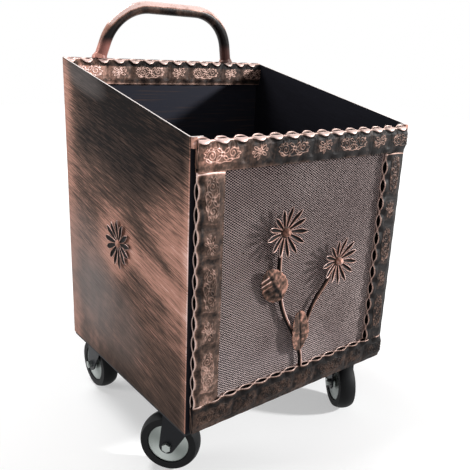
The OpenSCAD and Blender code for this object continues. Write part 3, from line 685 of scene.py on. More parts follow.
def line_field(points, width):
    """Heights from 0 to 1 of drawn lines, on a grid round their middle."""
    xs, ys = (np.arange(-reach, reach, FIELD_STEP) for reach in FIELD_REACH)
    grid = np.stack(np.meshgrid(xs, ys, indexing="ij"), axis=2)
    away = np.full(grid.shape[:2], 1.0)
    for part in np.array_split(points * MM, 60):
        gaps = np.linalg.norm(grid[:, :, None, :] - part[None, None, :, :], axis=3)
        away = np.minimum(away, gaps.min(axis=2))
    return np.exp(-((away / (width * 0.6)) ** 2))


def read_field(field, x, y):
    """Heights of a field at places from its middle, and 0 outside it."""
    i, j = ((at + reach) / FIELD_STEP for at, reach in zip((x, y), FIELD_REACH))
    rows, columns = field.shape
    inside = (i >= 0) & (j >= 0) & (i < rows - 1) & (j < columns - 1)
    i, j = np.clip(i, 0, rows - 1.001), np.clip(j, 0, columns - 1.001)
    a, b = i.astype(int), j.astype(int)
    di, dj = i - a, j - b
    low = field[a, b] * (1 - dj) + field[a, b + 1] * dj
    high = field[a + 1, b] * (1 - dj) + field[a + 1, b + 1] * dj
    return np.where(inside, low * (1 - di) + high * di, 0)


# How strongly each band's lines and creases show, how much copper its ground keeps, how far its
# lower (or left) and upper (or right) edges open into eyes, and how far its upper edge dips between
# two eyes, in millimetres
BANDS = {
    "front_band_top": (0.51, 0.05, 0.06, (0.5, 1.0), 3.8),
    "back_band": (0.61, 0.03, 0.29, (0.7, 1.0), 0.8),
    "front_band_bottom": (0.1, 0.05, 0.12, (0.1, 1.0), 0),
    "front_band_left": (0.2, 0.08, 0.26, (1.0, 0.15), 0),
    "front_band_right": (0.44, 0.08, 0.08, (1.0, 0.1), 0),
}
# Half the length of the long and of the short motif, and how far after a motif's middle the band
# is creased across
MOTIF_HALF = (30 * MM, 15 * MM)
CREASE_AFTER = (39 * MM, 24 * MM)
# How far the ground swells under a motif, how deep a crease is, and how far the ground lies below
# the band's plain face
SWELLING = 1.3 * MM
CREASE_DEPTH = 0.9 * MM
SUNK_GROUND = 0.6 * MM
# Half the height that a swelling covers, how far it reaches along a motif in shares of the motif's
# half, half a crease's width, how far a crease sways and how fast, and where beside a crease and how
# narrow its bright line is
SWELLING_HALF = 15 * MM
SWELLING_REACH = 1.15
CREASE_HALF = 4 * MM
CREASE_SWAY = 1.5 * MM
CREASE_BEND = 5 * MM
SHINE_BESIDE = 5 * MM
SHINE_HALF = 0.9 * MM
# An upright's bright arched line at its end: its distance from the end and its rise
ARCH_START = 1.2 * MM
ARCH_RISE = 2 * MM
# How far out the inner edge of a rolled lip stands where it is shut, and how much further where it
# is open
MOUTH_SHUT = 0.15 * MM
MOUTH_OPEN = 1.3 * MM
# How open an eye is where a rolled lip starts to leave the band, and how far it is pinched in below
MOUTH_FROM = 0.35
PINCH_DEPTH = 2 * MM
# How deep the slot of a rolled edge and of the other level edges goes in, the shares of that depth
# where its points lie, how fast it goes down behind a lip, how much it narrows there, the least
# that it leaves on each side of the middle, and how deep its bright rim is
ROLLED_SLOT = 7 * MM
LEVEL_SLOT = 5 * MM
SLOT_STEPS = (0, 0.08, 0.13, 0.4, 0.7, 1)
SLOT_FALL = 0.6
SLOT_NARROWING = 0.02 * MM
SLOT_LEAST = 0.05 * MM
SLOT_RIM = 1.3 * MM
# How many points a band has across its front, its pinch, its rolled lip and its back
FRONT_POINTS = 58
PINCH_POINTS = 12
ROLL_POINTS = 10
BACK_POINTS = 13
# How fast the pattern fades towards a crimped edge, how much its waves swell, and half the width of
# a rim's bright line
FACE_FADE = 2.2
CRIMP_SWELLING = 0.1
RIM_HALF = 1.1 * MM
# How much copper shows on a swelling, beside a crease as a share of what the crease hides, on the
# waves of a crimped edge, the painted shade in the hollow below them, copper along its rim, on an
# arched line and on a slot's rim, and the painted shade inside a slot
SWELLING_WEAR = 0.02
SHINE_WEAR = 1.2
WAVE_WEAR = 0.16
HOLLOW_PAINTED_SHADE = -0.2
RIM_WEAR = 0.55
ARCH_WEAR = 0.8
SLOT_RIM_WEAR = 1.15
SLOT_PAINTED_SHADE = -0.3
# The same on a pinch, on a rolled lip and on the back, and how much that changes along or across it;
# on a pinch that change is a painted shade below the lip
PINCH_WEAR_AND_SHADE = (0.12, -0.16)
LIP_WEAR = (0.82, 0.2)
BACK_WEAR = (0.25, 0.3)


def embossing(u, v, run, fields, sizes):
    """Heights from 0 to 1 of a band's lines, of the swelling under them, and of creases and shine."""
    lines, swell, crease, shine = (np.zeros_like(v) for _ in range(4))
    across = np.clip(1 - (v / SWELLING_HALF) ** 2, 0, None)
    for count in range(int(run / sizes.motif_step) + 2):
        kind = count % 2
        middle = sizes.motif_start + count * sizes.motif_step
        lines = np.maximum(lines, read_field(fields[kind], u - middle, v))
        along = np.clip(1 - ((u - middle) / (MOTIF_HALF[kind] * SWELLING_REACH)) ** 2, 0, None)
        swell = np.maximum(swell, np.sqrt(along * across))
        off = u - middle - CREASE_AFTER[kind] - CREASE_SWAY * np.sin(v / CREASE_BEND)
        crease = np.maximum(crease, np.exp(-((off / CREASE_HALF) ** 2)))
        shine = np.maximum(shine, np.exp(-(((off + SHINE_BESIDE) / SHINE_HALF) ** 2)))
    return lines, swell, crease, shine


def soft_step(t):
    """0 at 0 and 1 at 1, level at both ends."""
    t = np.clip(t, 0, 1)
    return t * t * (3 - 2 * t)


class BandShell:
    """A hollow band in its own place: its run along X from 0, its width along Z, its face at -Y."""

    def __init__(self, run, first_eye, width, rolled, level, worn, fields, sizes):
        self.sizes = sizes
        self.level = level
        self.etched, self.creased, self.ground, self.opened, dip = worn
        self.half = width / 2
        self.rolled = rolled
        self.u = np.linspace(0, run, round(run / sizes.step) + 1)[:, None]
        eyes = np.arange(first_eye, run - MM, sizes.pitch)
        off = np.abs(self.u - eyes[None, :]).min(axis=1, keepdims=True)
        self.eye = np.clip(1 - (2 * off / sizes.eye) ** 2, 0, None)
        self.wave = np.cos(math.pi * np.clip(off / (sizes.pitch / 2), 0, 1)) * 0.5 + 0.5
        self.gape = soft_step((self.eye - MOUTH_FROM) / (1 - MOUTH_FROM))
        self.mouth_out = MOUTH_SHUT + MOUTH_OPEN * self.gape
        self.crest = self.half - dip * MM * (1 - soft_step(self.eye))
        self.fields = fields
        self.run = run

    def side(self, v):
        """How far the edge nearest to heights v opens."""
        return np.where(v > 0, self.opened[1], self.opened[0])

    def thickness(self, v):
        """Half the band's thickness at heights v, and how near they are to its edges."""
        near = soft_step((np.abs(v) - (self.half - self.sizes.crimp)) / self.sizes.crimp)
        opening = self.eye * self.side(v)
        rim = self.sizes.neck / 2 + (self.sizes.open - self.sizes.neck) / 2 * opening
        swell = 1.0 + CRIMP_SWELLING * self.wave * self.side(v) * np.sin(math.pi * near)
        return (self.sizes.face / 2 * (1 - near) + rim * near) * swell, near

    def front(self):
        """The front skin from its lower rim up, as heights, distances to the front and wear with painted
        shade.
        """
        sizes = self.sizes
        top = self.half - sizes.crimp - MM if self.rolled else self.half
        across = np.linspace(0, 1, FRONT_POINTS)[None, :]
        v = -self.half + (top + self.half) * across + np.zeros_like(self.u)
        out, near = self.thickness(v)
        u = self.u + np.zeros_like(v)
        lines, swell, crease, shine = embossing(u, v, self.run, self.fields, sizes)
        face = np.clip(1 - near * FACE_FADE, 0, 1)
        raised = lines * sizes.relief + swell * SWELLING - crease * CREASE_DEPTH - SUNK_GROUND
        out = out + face * raised
        dark = self.creased * (crease - SHINE_WEAR * shine)
        wear = face * (self.etched * lines + SWELLING_WEAR * swell - dark)
        # Copper on the crimp's waves and a painted shade in the hollow below them
        crimp = WAVE_WEAR * near ** 3 * self.wave + HOLLOW_PAINTED_SHADE * np.sin(math.pi * near)
        edge = np.exp(-(((self.half - np.abs(v)) / RIM_HALF) ** 2))
        wear = self.ground + wear + self.side(v) * (crimp + RIM_WEAR * edge * self.side(v))
        if not self.level:
            arch = self.u - ARCH_START - ARCH_RISE * (v / self.half) ** 2
            wear = wear + ARCH_WEAR * np.exp(-((arch / SHINE_HALF) ** 2))
        skin = (v, out, wear)
        if self.rolled:
            lip = self.lip(v[:, -1:], out[:, -1:])
            skin = tuple(np.concatenate(parts, axis=1) for parts in zip(skin, lip))
        return skin

    def lip(self, low_v, low_out):
        """The front skin above its face, pinched and then rolled out and over to the mouth."""
        sizes = self.sizes
        mouth_v = self.crest - sizes.mouth * self.gape
        out_v = mouth_v - MM - (sizes.lip - MM) * self.eye
        out = sizes.neck / 2 + (sizes.lip_out - sizes.neck / 2) * self.eye
        t = np.linspace(0, 1, PINCH_POINTS)[None, 1:-1]
        bow = np.sin(math.pi * t)
        pinch_v = low_v + (out_v - low_v) * t
        pinch = low_out + (out - low_out) * soft_step(t) - PINCH_DEPTH * self.eye * bow
        angle = np.linspace(math.pi / 2, 0, ROLL_POINTS)[None, :]
        roll_v = out_v + (mouth_v - out_v) * np.cos(angle)
        roll = self.mouth_out + (out - self.mouth_out) * np.sin(angle)
        # Copper on the pinch, with a painted shade below the rolled lip
        dark = PINCH_WEAR_AND_SHADE[0] + PINCH_WEAR_AND_SHADE[1] * bow * (0.4 + self.eye)
        bright = LIP_WEAR[0] + LIP_WEAR[1] * soft_step(self.eye) + np.zeros_like(roll)
        pairs = ((pinch_v, roll_v), (pinch, roll), (dark + np.zeros_like(pinch), bright))
        return tuple(np.concatenate(pair, axis=1) for pair in pairs)

    def slot(self, edge, rolled):
        """The slot in an edge, 1 for the upper one: down from the front rim and up to the back rim."""
        sizes = self.sizes
        deep = ROLLED_SLOT if rolled else LEVEL_SLOT if self.level else sizes.crimp
        depth = np.array([SLOT_STEPS]) * deep
        back_v = edge * ((self.crest if edge > 0 else self.half) - depth) + np.zeros_like(self.u)
        thick, _ = self.thickness(back_v)
        back = np.maximum(thick - sizes.skin, SLOT_LEAST)
        front_v, front = back_v, back
        if rolled:
            front_v = self.crest - sizes.mouth * self.gape - depth * SLOT_FALL
            front = self.mouth_out - SLOT_NARROWING * np.sign(depth)
        # A bright rim at the slot's mouth and painted shade deeper inside
        shade = np.where(depth < SLOT_RIM, SLOT_RIM_WEAR * self.side(back_v) ** 2, SLOT_PAINTED_SHADE)
        down = (front_v, -front + np.zeros_like(back_v), shade)
        up = (back_v[:, ::-1], back[:, ::-1], shade[:, ::-1])
        return down, up

    def whole(self):
        """Points, faces and wear with painted shade of the closed shell."""
        v, out, wear = self.front()
        top_down, top_up = self.slot(1, self.rolled)
        low_down, low_up = self.slot(-1, False)
        back_v = self.crest - (self.crest + self.half) * np.linspace(0, 1, BACK_POINTS)[None, :]
        back, back_near = self.thickness(back_v)
        back_skin = (back_v, back, BACK_WEAR[0] + BACK_WEAR[1] * back_near)
        # The ring runs up the front, through the upper slot, down the back and through the lower slot
        reverse = [tuple(part[:, ::-1] for part in side) for side in (low_up, low_down)]
        ring = [(v, -out, wear), top_down, top_up, back_skin, *reverse]
        v, y, worn = (np.concatenate([part[k] for part in ring], axis=1) for k in range(3))
        rings, around = v.shape
        points = np.stack([self.u + np.zeros_like(v), y, v], axis=2).reshape(-1, 3)
        faces = ring_faces(rings, around)
        faces.append(tuple(range(around - 1, -1, -1)))
        faces.append(tuple(range((rings - 1) * around, rings * around)))
        return points, faces, worn.reshape(-1)


# Where along a petal, as a share of its length, it is widest and where its sides would meet
PETAL_WIDEST = 0.7
PETAL_MEETING = 1.04
# How wide a petal is at its root, and how high its edges stand there, as shares of the most
ROOT_WIDTH = 0.32
ROOT_EDGE = 0.45
# How steeply its edges rise from its trough, how much copper shows along them, the painted shade
# in the trough, and from where on its tip is bright
EDGE_POWER = 1.5
EDGE_WEAR = 1.25
TROUGH_PAINTED_SHADE = -0.44
TIP_START = 0.6
# Points closer than this are joined where a petal's two skins meet
JOIN = 0.02 * MM
# The places that the petals start from lie this near the middle
CLOSE_IN = 0.01 * MM


def petal_ring(graph, size):
    """Petals round a disc, as a tree: a grid bent to a trough, given thickness and repeated."""
    grid = graph.node(
        "GeometryNodeMeshGrid", {"Size X": 1.0, "Size Y": 2.0, "Vertices X": 19, "Vertices Y": 9}
    )
    x, y, _ = graph.parts(graph.node("GeometryNodeInputPosition"))
    u = x + 0.5
    opening = graph.maths("MINIMUM", u / PETAL_WIDEST, 1.0)
    swelling = graph.maths("SINE", opening * (math.pi / 2))
    narrowing = graph.maths("MAXIMUM", (u - PETAL_WIDEST) / (PETAL_MEETING - PETAL_WIDEST), 0.0)
    closing = graph.maths("COSINE", narrowing * (math.pi / 2))
    half = size["Width"] * 0.5 * (ROOT_WIDTH + swelling * (1 - ROOT_WIDTH)) * closing
    reach = size["Root"] + (size["Tip"] - size["Root"]) * u
    bank = graph.maths("ABSOLUTE", y) ** EDGE_POWER
    lift = size["Edge"] * bank * closing * (ROOT_EDGE + (1 - ROOT_EDGE) * u)
    lift = lift + size["Rise"] * u + size["Curl"] * u * u * u * u
    rim = graph.smooth(graph.maths("ABSOLUTE", y), size["Trough"], 0.98)
    # Bright edges, a painted shade in the trough and a bright tip
    wear = rim * EDGE_WEAR + TROUGH_PAINTED_SHADE + graph.smooth(u, TIP_START, 1.0) * size["Bright Tip"]
    worn = graph.node(
        "GeometryNodeStoreNamedAttribute", {"Geometry": grid, "Name": "wear", "Value": wear},
        data_type="FLOAT", domain="POINT",
    )
    bent = graph.node(
        "GeometryNodeSetPosition", {"Geometry": worn, "Position": graph.vector(reach, half * y, lift)}
    )
    up = {"Offset": graph.vector(0.0, 0.0, 1.0), "Offset Scale": size["Sheet"], "Individual": False}
    thick = graph.node("GeometryNodeExtrudeMesh", {"Mesh": bent, **up}, mode="FACES")
    under = graph.node("GeometryNodeFlipFaces", {"Mesh": bent})
    both = graph.tree.nodes.new("GeometryNodeJoinGeometry")
    for part in (thick, under):
        graph.tree.links.new(part.socket, both.inputs["Geometry"])
    petal = graph.node(
        "GeometryNodeMergeByDistance", {"Geometry": Signal(graph, both.outputs[0]), "Distance": JOIN}
    )
    places = graph.node("GeometryNodeMeshCircle", {"Vertices": size["Petals"], "Radius": CLOSE_IN})
    index = graph.node("GeometryNodeInputIndex")

    def scattered(low, high, seed):
        """A number between low and high for each petal."""
        inputs = {2: low, 3: high, "ID": index, "Seed": seed}
        return graph.node("FunctionNodeRandomValue", inputs, 1, data_type="FLOAT")

    turn = index * (2 * math.pi) / size["Petals"] + scattered(-0.07, 0.07, 5)
    return graph.node(
        "GeometryNodeInstanceOnPoints",
        {
            "Points": places, "Instance": petal, "Rotation": graph.euler(0.0, 0.0, turn),
            "Scale": graph.vector(scattered(0.9, 1.0, 9), 1.0, 1.0),
        },
    )


def diamond_rows(graph, size):
    """Zigzag strands along X, one above the other along Z and turned over by turns to meet."""
    line = graph.node("GeometryNodeCurvePrimitiveLine", {"End": graph.vector(size["Run"], 0.0, 0.0)})
    bends = graph.node("GeometryNodeResampleCurve", {"Curve": line, "Count": size["Bends"]})
    rise = (graph.node("GeometryNodeInputIndex") % 2.0 - 0.5) * size["Short"] * 0.5
    zigzag = graph.node(
        "GeometryNodeSetPosition", {"Geometry": bends, "Offset": graph.vector(0.0, 0.0, rise)}
    )
    profile = graph.node(
        "GeometryNodeCurvePrimitiveCircle", {"Resolution": 4, "Radius": size["Strand"] * 0.5}
    )
    strand = graph.node(
        "GeometryNodeCurveToMesh", {"Curve": zigzag, "Profile Curve": profile, "Fill Caps": True}
    )
    up = graph.vector(0.0, 0.0, size["Short"] * 0.5)
    places = graph.node("GeometryNodeMeshLine", {"Count": size["Rows"], "Offset": up})
    over = graph.euler(graph.node("GeometryNodeInputIndex") % 2.0 * math.pi, 0.0, 0.0)
    return graph.node(
        "GeometryNodeInstanceOnPoints", {"Points": places, "Instance": strand, "Rotation": over}
    )


def frame_ring(low, high, width):
    """Points and faces of a flat square ring in X and Z, between two corners, with width along it."""
    corners = [(low[0], low[2]), (high[0], low[2]), (high[0], high[2]), (low[0], high[2])]
    inner = [(low[0] + width, low[2] + width), (high[0] - width, low[2] + width)]
    inner += [(high[0] - width, high[2] - width), (low[0] + width, high[2] - width)]
    points = [(x, y, z) for y in (low[1], high[1]) for x, z in corners + inner]
    faces = []
    for k in range(4):
        n = (k + 1) % 4
        faces += [(k, n, 4 + n, 4 + k), (12 + k, 12 + n, 8 + n, 8 + k)]
        faces += [(8 + k, 8 + n, n, k), (4 + k, 4 + n, 12 + n, 12 + k)]
    return points, faces


# How many points a leaf has along and across, how deep its jags are in shares of its width, how far
# its sides sweep back in shares of its length, and how high its right half's ridges are beside the
# left half's
LEAF_POINTS = (65, 41)
LEAF_JAGS = 0.05
LEAF_SWEEP = 0.04
RIGHT_RIDGES = 0.35
# How deep the midrib is pressed, and half a leaf's width at its very ends
MIDRIB_DEPTH = 0.5 * MM
LEAF_END = 0.3 * MM


def leaf_shell(long, wide, bent, veins, tone, right_tone, shine, blunt, cut, sheet, ridge):
    """Points, faces and wear, with painted shade and highlights, of a leaf from its base along +X, its
    left half bent up by an angle.
    """
    u = np.linspace(0.0, 1.0, LEAF_POINTS[0])[:, None]
    v = np.linspace(-1.0, 1.0, LEAF_POINTS[1])[None, :]
    half = wide / 2 * np.sin(math.pi * u ** 0.78) ** blunt + LEAF_END
    left = v > 0
    jagged = 1 + LEAF_JAGS * np.sin(u * math.pi * 2 * (veins - 1.5)) * np.abs(v) * u
    jagged = jagged * np.where(left, 1.0, soft_step(0.35 + u / cut))
    y = half * v * jagged
    x = long * u - LEAF_SWEEP * long * np.abs(v) ** 1.4 * u
    waves = np.sin((u * veins - 0.3 * np.abs(v)) * 2 * math.pi)
    inner = np.clip(np.abs(v) * 4, 0, 1) * np.sin(math.pi * np.clip(u, 0.04, 0.98)) ** 0.5
    deep = np.where(left, 1.0, RIGHT_RIDGES) * inner
    lift = np.where(left, y * math.tan(bent), 0.0) + ridge * (0.5 + 0.5 * waves) * deep
    lift = lift + MIDRIB_DEPTH * (1 - np.exp(-((v * 10) ** 2)))
    rows, columns = lift.shape
    x = np.broadcast_to(x, lift.shape)
    top = np.stack([x, y, lift + sheet], axis=2).reshape(-1, 3)
    under = np.stack([x, y, lift], axis=2).reshape(-1, 3)
    points = np.concatenate([top, under])
    count = rows * columns
    faces = []
    for i in range(rows - 1):
        for j in range(columns - 1):
            a, b = i * columns + j, i * columns + j + 1
            c, d = b + columns, a + columns
            faces.append((a, d, c, b))
            faces.append((count + a, count + b, count + c, count + d))
    edge = list(range(columns))
    edge += [i * columns + columns - 1 for i in range(1, rows)]
    edge += [(rows - 1) * columns + j for j in range(columns - 2, -1, -1)]
    edge += [i * columns for i in range(rows - 2, 0, -1)]
    for a, b in zip(edge, edge[1:] + edge[:1]):
        faces.append((a, b, count + b, count + a))
    crest = np.clip(waves, 0, 1) ** 3 * deep
    near_tip = np.exp(-(((u - 0.74) / 0.15) ** 2))
    # The left half is darker, partly as painted shade, and its ridges carry a painted highlight near the
    # tip
    wear = np.where(left, tone + (0.05 + shine * near_tip) * crest, right_tone + 0.12 * crest)
    wear = wear - 0.3 * np.exp(-((v * 9) ** 2)) + 0.2 * np.abs(v) ** 8
    return points, faces, np.tile(wear.reshape(-1), 2)


def placed(points, matrix):
    """Points moved by a matrix."""
    return points @ np.array(matrix.to_3x3()).T + np.array(matrix.translation)


def turned(middle, *turns):
    """A matrix that turns by (degrees, axis) in order and then moves to middle."""
    made = Matrix.Identity(4)
    for angle, axis in turns:
        made = Matrix.Rotation(math.radians(angle), 4, axis) @ made
    return Matrix.Translation(tuple(float(part) for part in middle)) @ made


class LOGCART_OT_bands(bpy.types.Operator):
    """Make the five hollow bands with their crimped edges and embossed faces"""

    bl_idname = "log_cart.bands"
    bl_label = "Embossed Bands"

    def execute(self, context):
        sizes = context.scene.log_cart_bands
        finish = band_paint()
        fields = [line_field(motif_lines(*motif), sizes.line) for motif in (LONG_MOTIF, SHORT_MOTIF)]
        for node in BANDS:
            low, high, middle = span(node)
            upright = node in ("front_band_left", "front_band_right")
            run = (high - low)[2 if upright else 0]
            width = (high - low)[0 if upright else 2]
            first = sizes.side_start if upright else sizes.long_start
            rolled = node in ("front_band_top", "back_band")
            shell = BandShell(run, first, width, rolled, not upright, BANDS[node], fields, sizes)
            points, faces, wear = shell.whole()
            points[:, 0] -= run / 2
            place = turned(middle, *([(90, "Y")] if upright else []))
            new_piece(
                node + "_shell", placed(points, place), faces, "copper_black", "cart", node,
                material=finish, wear=wear,
            )
        return {"FINISHED"}


class LOGCART_OT_mesh(bpy.types.Operator):
    """Make the diamond mesh of the front and the plain hem round it"""

    bl_idname = "log_cart.mesh"
    bl_label = "Diamond Mesh"

    def execute(self, context):
        sizes = context.scene.log_cart_mesh
        low, high, middle = span("front_mesh")
        finish = mesh_paint()
        window_x = span("front_band_right")[0][0] - span("front_band_left")[1][0] + 2 * sizes.overlap
        window_z = span("front_band_top")[0][2] - span("front_band_bottom")[1][2] + 2 * sizes.overlap
        bends = int(window_x / (sizes.long / 2)) + 1
        rows = int(window_z / (sizes.short / 2))
        run = (bends - 1) * sizes.long / 2
        values = {"Run": run, "Bends": bends, "Rows": rows, "Short": sizes.short, "Strand": sizes.strand}
        piece = grown("front_diamonds", diamond_rows, values, finish)
        start = (middle[0] - run / 2, middle[1], middle[2] - (rows - 1) * sizes.short / 4)
        piece.data.transform(Matrix.Translation(start))
        settle(piece, "mesh", "cart", "front_mesh", material=finish, smooth=False)
        hem_low, hem_high = low.copy(), high.copy()
        hem_low[1], hem_high[1] = middle[1] - sizes.hem / 2, middle[1] + sizes.hem / 2
        points, faces = frame_ring(hem_low, hem_high, (high[0] - low[0] - window_x) / 2 + MM)
        new_piece(
            "front_mesh_hem", points, faces, "mesh", "cart", "front_mesh", material=finish, smooth=False
        )
        return {"FINISHED"}


# How each daisy is turned from lying level, in degrees
DAISIES = {
    "daisy_left": ((90, "X"), (3, "Y")),
    "daisy_right": ((90, "X"), (9, "Y")),
    "side_daisy_left": ((-90, "Y"),),
    "side_daisy_right": ((90, "Y"),),
}
# The daisies on the sides are this much flatter than those on the stems
SIDE_FLATNESS = 0.35
# Outlines from the axis and back to it: a disc's in shares of its radius, and a boss's in shares of
# its radius and its height
DISC_OUTLINE = ((0, 0), (0.9, 0), (1, 0.1), (1, 0.28), (0.8, 0.4), (0, 0.4))
DOME_ARC = [math.radians(angle) for angle in range(0, 90, 10)]
BOSS_OUTLINE = ((0, 0), *((math.cos(angle), math.sin(angle)) for angle in DOME_ARC), (0, 1))


class LOGCART_OT_daisies(bpy.types.Operator):
    """Make the petals of the four daisies"""

    bl_idname = "log_cart.daisies"
    bl_label = "Daisies"

    def execute(self, context):
        sizes = context.scene.log_cart_daisies
        finish = rubbed_paint("petal_patina_painted_shade", 0.1, uneven=0.3)
        knob_finish = rubbed_paint("boss_patina", 0.34)
        for flower, turns in DAISIES.items():
            flat = SIDE_FLATNESS if flower.startswith("side") else 1.0
            values = {
                "Petals": sizes.petals, "Root": sizes.root, "Tip": sizes.tip,
                "Width": sizes.width * (1.35 - 0.35 * flat), "Edge": sizes.edge,
                "Curl": sizes.curl * flat, "Rise": sizes.rise * flat, "Sheet": sizes.sheet,
                "Bright Tip": 0.4 * flat, "Trough": 0.9 - 0.4 * flat,
            }
            node = flower + "_petals"
            back = span(flower + "_boss")[2]
            if flower.startswith("side"):
                back[0] = math.copysign(SIDE_X, back[0])
            else:
                back[1] = STEM_FRONT_Y
            place = turned(back, *turns)
            ring = grown(flower + "_petal_ring", petal_ring, values, finish)
            ring.data.transform(place)
            settle(ring, "copper_black", "cart", node, material=finish)
            points, faces = lathe(DISC_OUTLINE, 48)
            points = placed(points * sizes.disc * (1, 1, flat), place)
            new_piece(
                flower + "_disc", points, faces, "copper_black", "cart", node,
                material=finish, wear=np.full(len(points), 0.15),
            )
            points, faces = lathe(BOSS_OUTLINE, 40)
            dents = 0.07 * np.sin(points[:, 0] * 7 + 1) * np.sin(points[:, 1] * 6 + points[:, 2] * 4)
            points = points * (1 + dents)[:, None] * (sizes.boss, sizes.boss, sizes.dome * flat ** 0.5)
            points[:, 2] += 0.38 * sizes.disc * flat
            new_piece(
                flower + "_knob", placed(points, place), faces, "copper_black", "cart", flower + "_boss",
                material=knob_finish, wear=0.2 + 1.6 * dents + 0.2 * (flower == "daisy_right"),
            )
        return {"FINISHED"}


# Each leaf's base in X and Z, the turn of its midrib from upright, its length and width, in
# millimetres and degrees, then the bend of its left half towards the front, how many veins it has,
# how much copper its left and right halves keep, the left half's smaller share partly a painted
# shade, how bright the painted highlights on the left half's ridges are near the tip, how pointed its
# ends are, and how far up its right half reaches its full width
LEAVES = {
    "leaf_upper": ((-52.7, 297.7), 33, 64, 45, -16, 8, 0.14, 0.28, 1.1, 0.5, 0.3),
    "leaf_lower": ((-2.9, 196.4), 8, 73, 38, 6, 7, 0.24, 0.28, 0.0, 0.36, 0.6),
}


class LOGCART_OT_leaves(bpy.types.Operator):
    """Make the folded leaves on the stems"""

    bl_idname = "log_cart.leaves"
    bl_label = "Leaves"

    def execute(self, context):
        sizes = context.scene.log_cart_daisies
        finish = rubbed_paint("leaf_patina_painted_light", 0.12, uneven=1.15, scale=110.0)
        for node, (base, turn, long, wide, bent, *habit) in LEAVES.items():
            points, faces, wear = leaf_shell(
                long * MM, wide * MM, math.radians(bent), *habit, sizes.sheet, sizes.ridge
            )
            foot = (base[0] * MM, STEM_FRONT_Y, base[1] * MM)
            points = placed(points, turned(foot, (90 + turn, "Z"), (90, "X")))
            new_piece(
                node + "_blade", points, faces, "copper_black", "cart", node, material=finish, wear=wear
            )
        return {"FINISHED"}


# Half the outline of a wheel's two discs on their hub tube, in millimetres from the axle and from the
# wheel's middle: from the bore, over the hub and the outside of the disc to the rim, and back inside
DISC_HALF = (
    (6.2, 17.0), (9.6, 17.0), (10.0, 16.6), (10.0, 13.6), (11.5, 12.7), (25.5, 12.1), (28.0, 12.4),
    (31.5, 13.0), (33.4, 13.1), (34.2, 12.7), (34.3, 11.8), (10.0, 11.2),
)
DISC_AROUND = 96


class LOGCART_OT_discs(bpy.types.Operator):
    """Turn the pressed discs and hub tubes of the four wheels"""

    bl_idname = "log_cart.discs"
    bl_label = "Wheel Discs"

    def execute(self, context):
        finish = disc_paint()
        joints = {joint["name"]: joint for joint in frame["joints"]}
        profile = [(radius, -height) for radius, height in DISC_HALF] + list(reversed(DISC_HALF))
        points = np.array(turned_rings(profile, DISC_AROUND)) * MM
        faces = ring_faces(len(profile), DISC_AROUND, closed=True)
        for caster in CASTERS:
            joint = joints["wheel_" + caster]
            yaw = math.degrees(math.atan2(joint["axis"][1], joint["axis"][0]))
            place = turned(joint["pos_m"], (90, "Y"), (yaw, "Z"))
            new_piece(
                "wheel_discs_" + caster, placed(points, place), faces, "zinc", "wheel_" + caster,
                "rim_" + caster, material=finish, turn=np.arctan2(points[:, 1], points[:, 0]),
            )
        return {"FINISHED"}


class LOGCART_OT_finishes(bpy.types.Operator):
    """Paint the pieces whose shape comes straight from the frame"""

    bl_idname = "log_cart.finishes"
    bl_label = "Finishes"

    def execute(self, context):
        colours = context.scene.log_cart_colours
        side = side_panel_paint()
        inside = inside_paint()
        # The stems get painted light on their right and upper faces
        stem = rubbed_paint("stem_patina_painted_light", 0.5, painted_light=0.8)
        tab = rubbed_paint("tab_patina", 0.64, uneven=0.8, scale=90.0)
        black = plain_paint("black_frame", colours.fork, 0.5)
        fork = plain_paint("fork_black", colours.fork, 0.34)
        zinc = plain_paint("zinc_plate", colours.zinc, 0.3, metallic=0.9)
        rubber = plain_paint("tyre_rubber", colours.rubber, 0.6, scale=420.0)
        coats = {
            "left_side_panel": side, "right_side_panel": side, "back_panel": inside, "floor_panel": inside,
            "base_frame": black, "caster_pads": black, "caster_bolts": zinc, "corner_tabs": tab,
            "handle": handle_paint(), "stem_left": stem, "stem_right": stem,
        }
        for caster in CASTERS:
            coats["caster_plate_" + caster] = fork
            coats["fork_" + caster] = fork
            coats["tyre_" + caster] = rubber
            for piece in ("axle_bolt_", "axle_nut_", "bush_"):
                coats[piece + caster] = zinc
        for node, coat in coats.items():
            slots = frame["nodes"][node].data.materials
            slots.clear()
            slots.append(coat)
        return {"FINISHED"}


# Half the side of the floor, in metres
FLOOR_HALF = 6.0
# Each lamp's place in metres, the side of its square and its power in watts
LAMPS = {
    "key": ((1.95, -1.75, 1.15), 0.2, 106.0),
    "left": ((-2.1, 1.0, 0.75), 0.7, 27.0),
    "top": ((-0.5, 1.2, 2.3), 1.0, 44.0),
}
# How much light the world sheds, where what the camera sees of it is 1
WORLD_LIGHT = 0.17
# How brightly the floor glows by the cart, and the squares of the distances, in square metres,
# between which it comes up to white
FLOOR_GLOW = 0.42
FLOOR_FADE = (0.6, 6.0)
SEEN_RAYS = ("Is Camera Ray", "Is Glossy Ray", "Is Transmission Ray")
BLACK = (0.0, 0.0, 0.0, 1.0)
WHITE = (1.0, 1.0, 1.0, 1.0)


def seen_background(graph):
    """1 for what the camera, a reflection or glass shows, and 0 for light that only falls on things."""
    return graph.limited(sum(graph.node("ShaderNodeLightPath", output=ray) for ray in SEEN_RAYS))


def floor_paint():
    """A pale floor that reads as white away from the cart and keeps its shadow."""
    grey = bpy.context.scene.log_cart_colours.floor
    paint = Paint("pale_floor", Roughness=0.9, Base_Color=grey, Emission_Strength=1.0)
    x, y, _ = paint.parts(paint.place())
    away = paint.smooth(x * x + y * y, *FLOOR_FADE)
    glow = seen_background(paint) * (FLOOR_GLOW + away * (1.0 - FLOOR_GLOW))
    paint.set(Emission_Color=paint.blend(glow, BLACK, WHITE))
    return paint.material


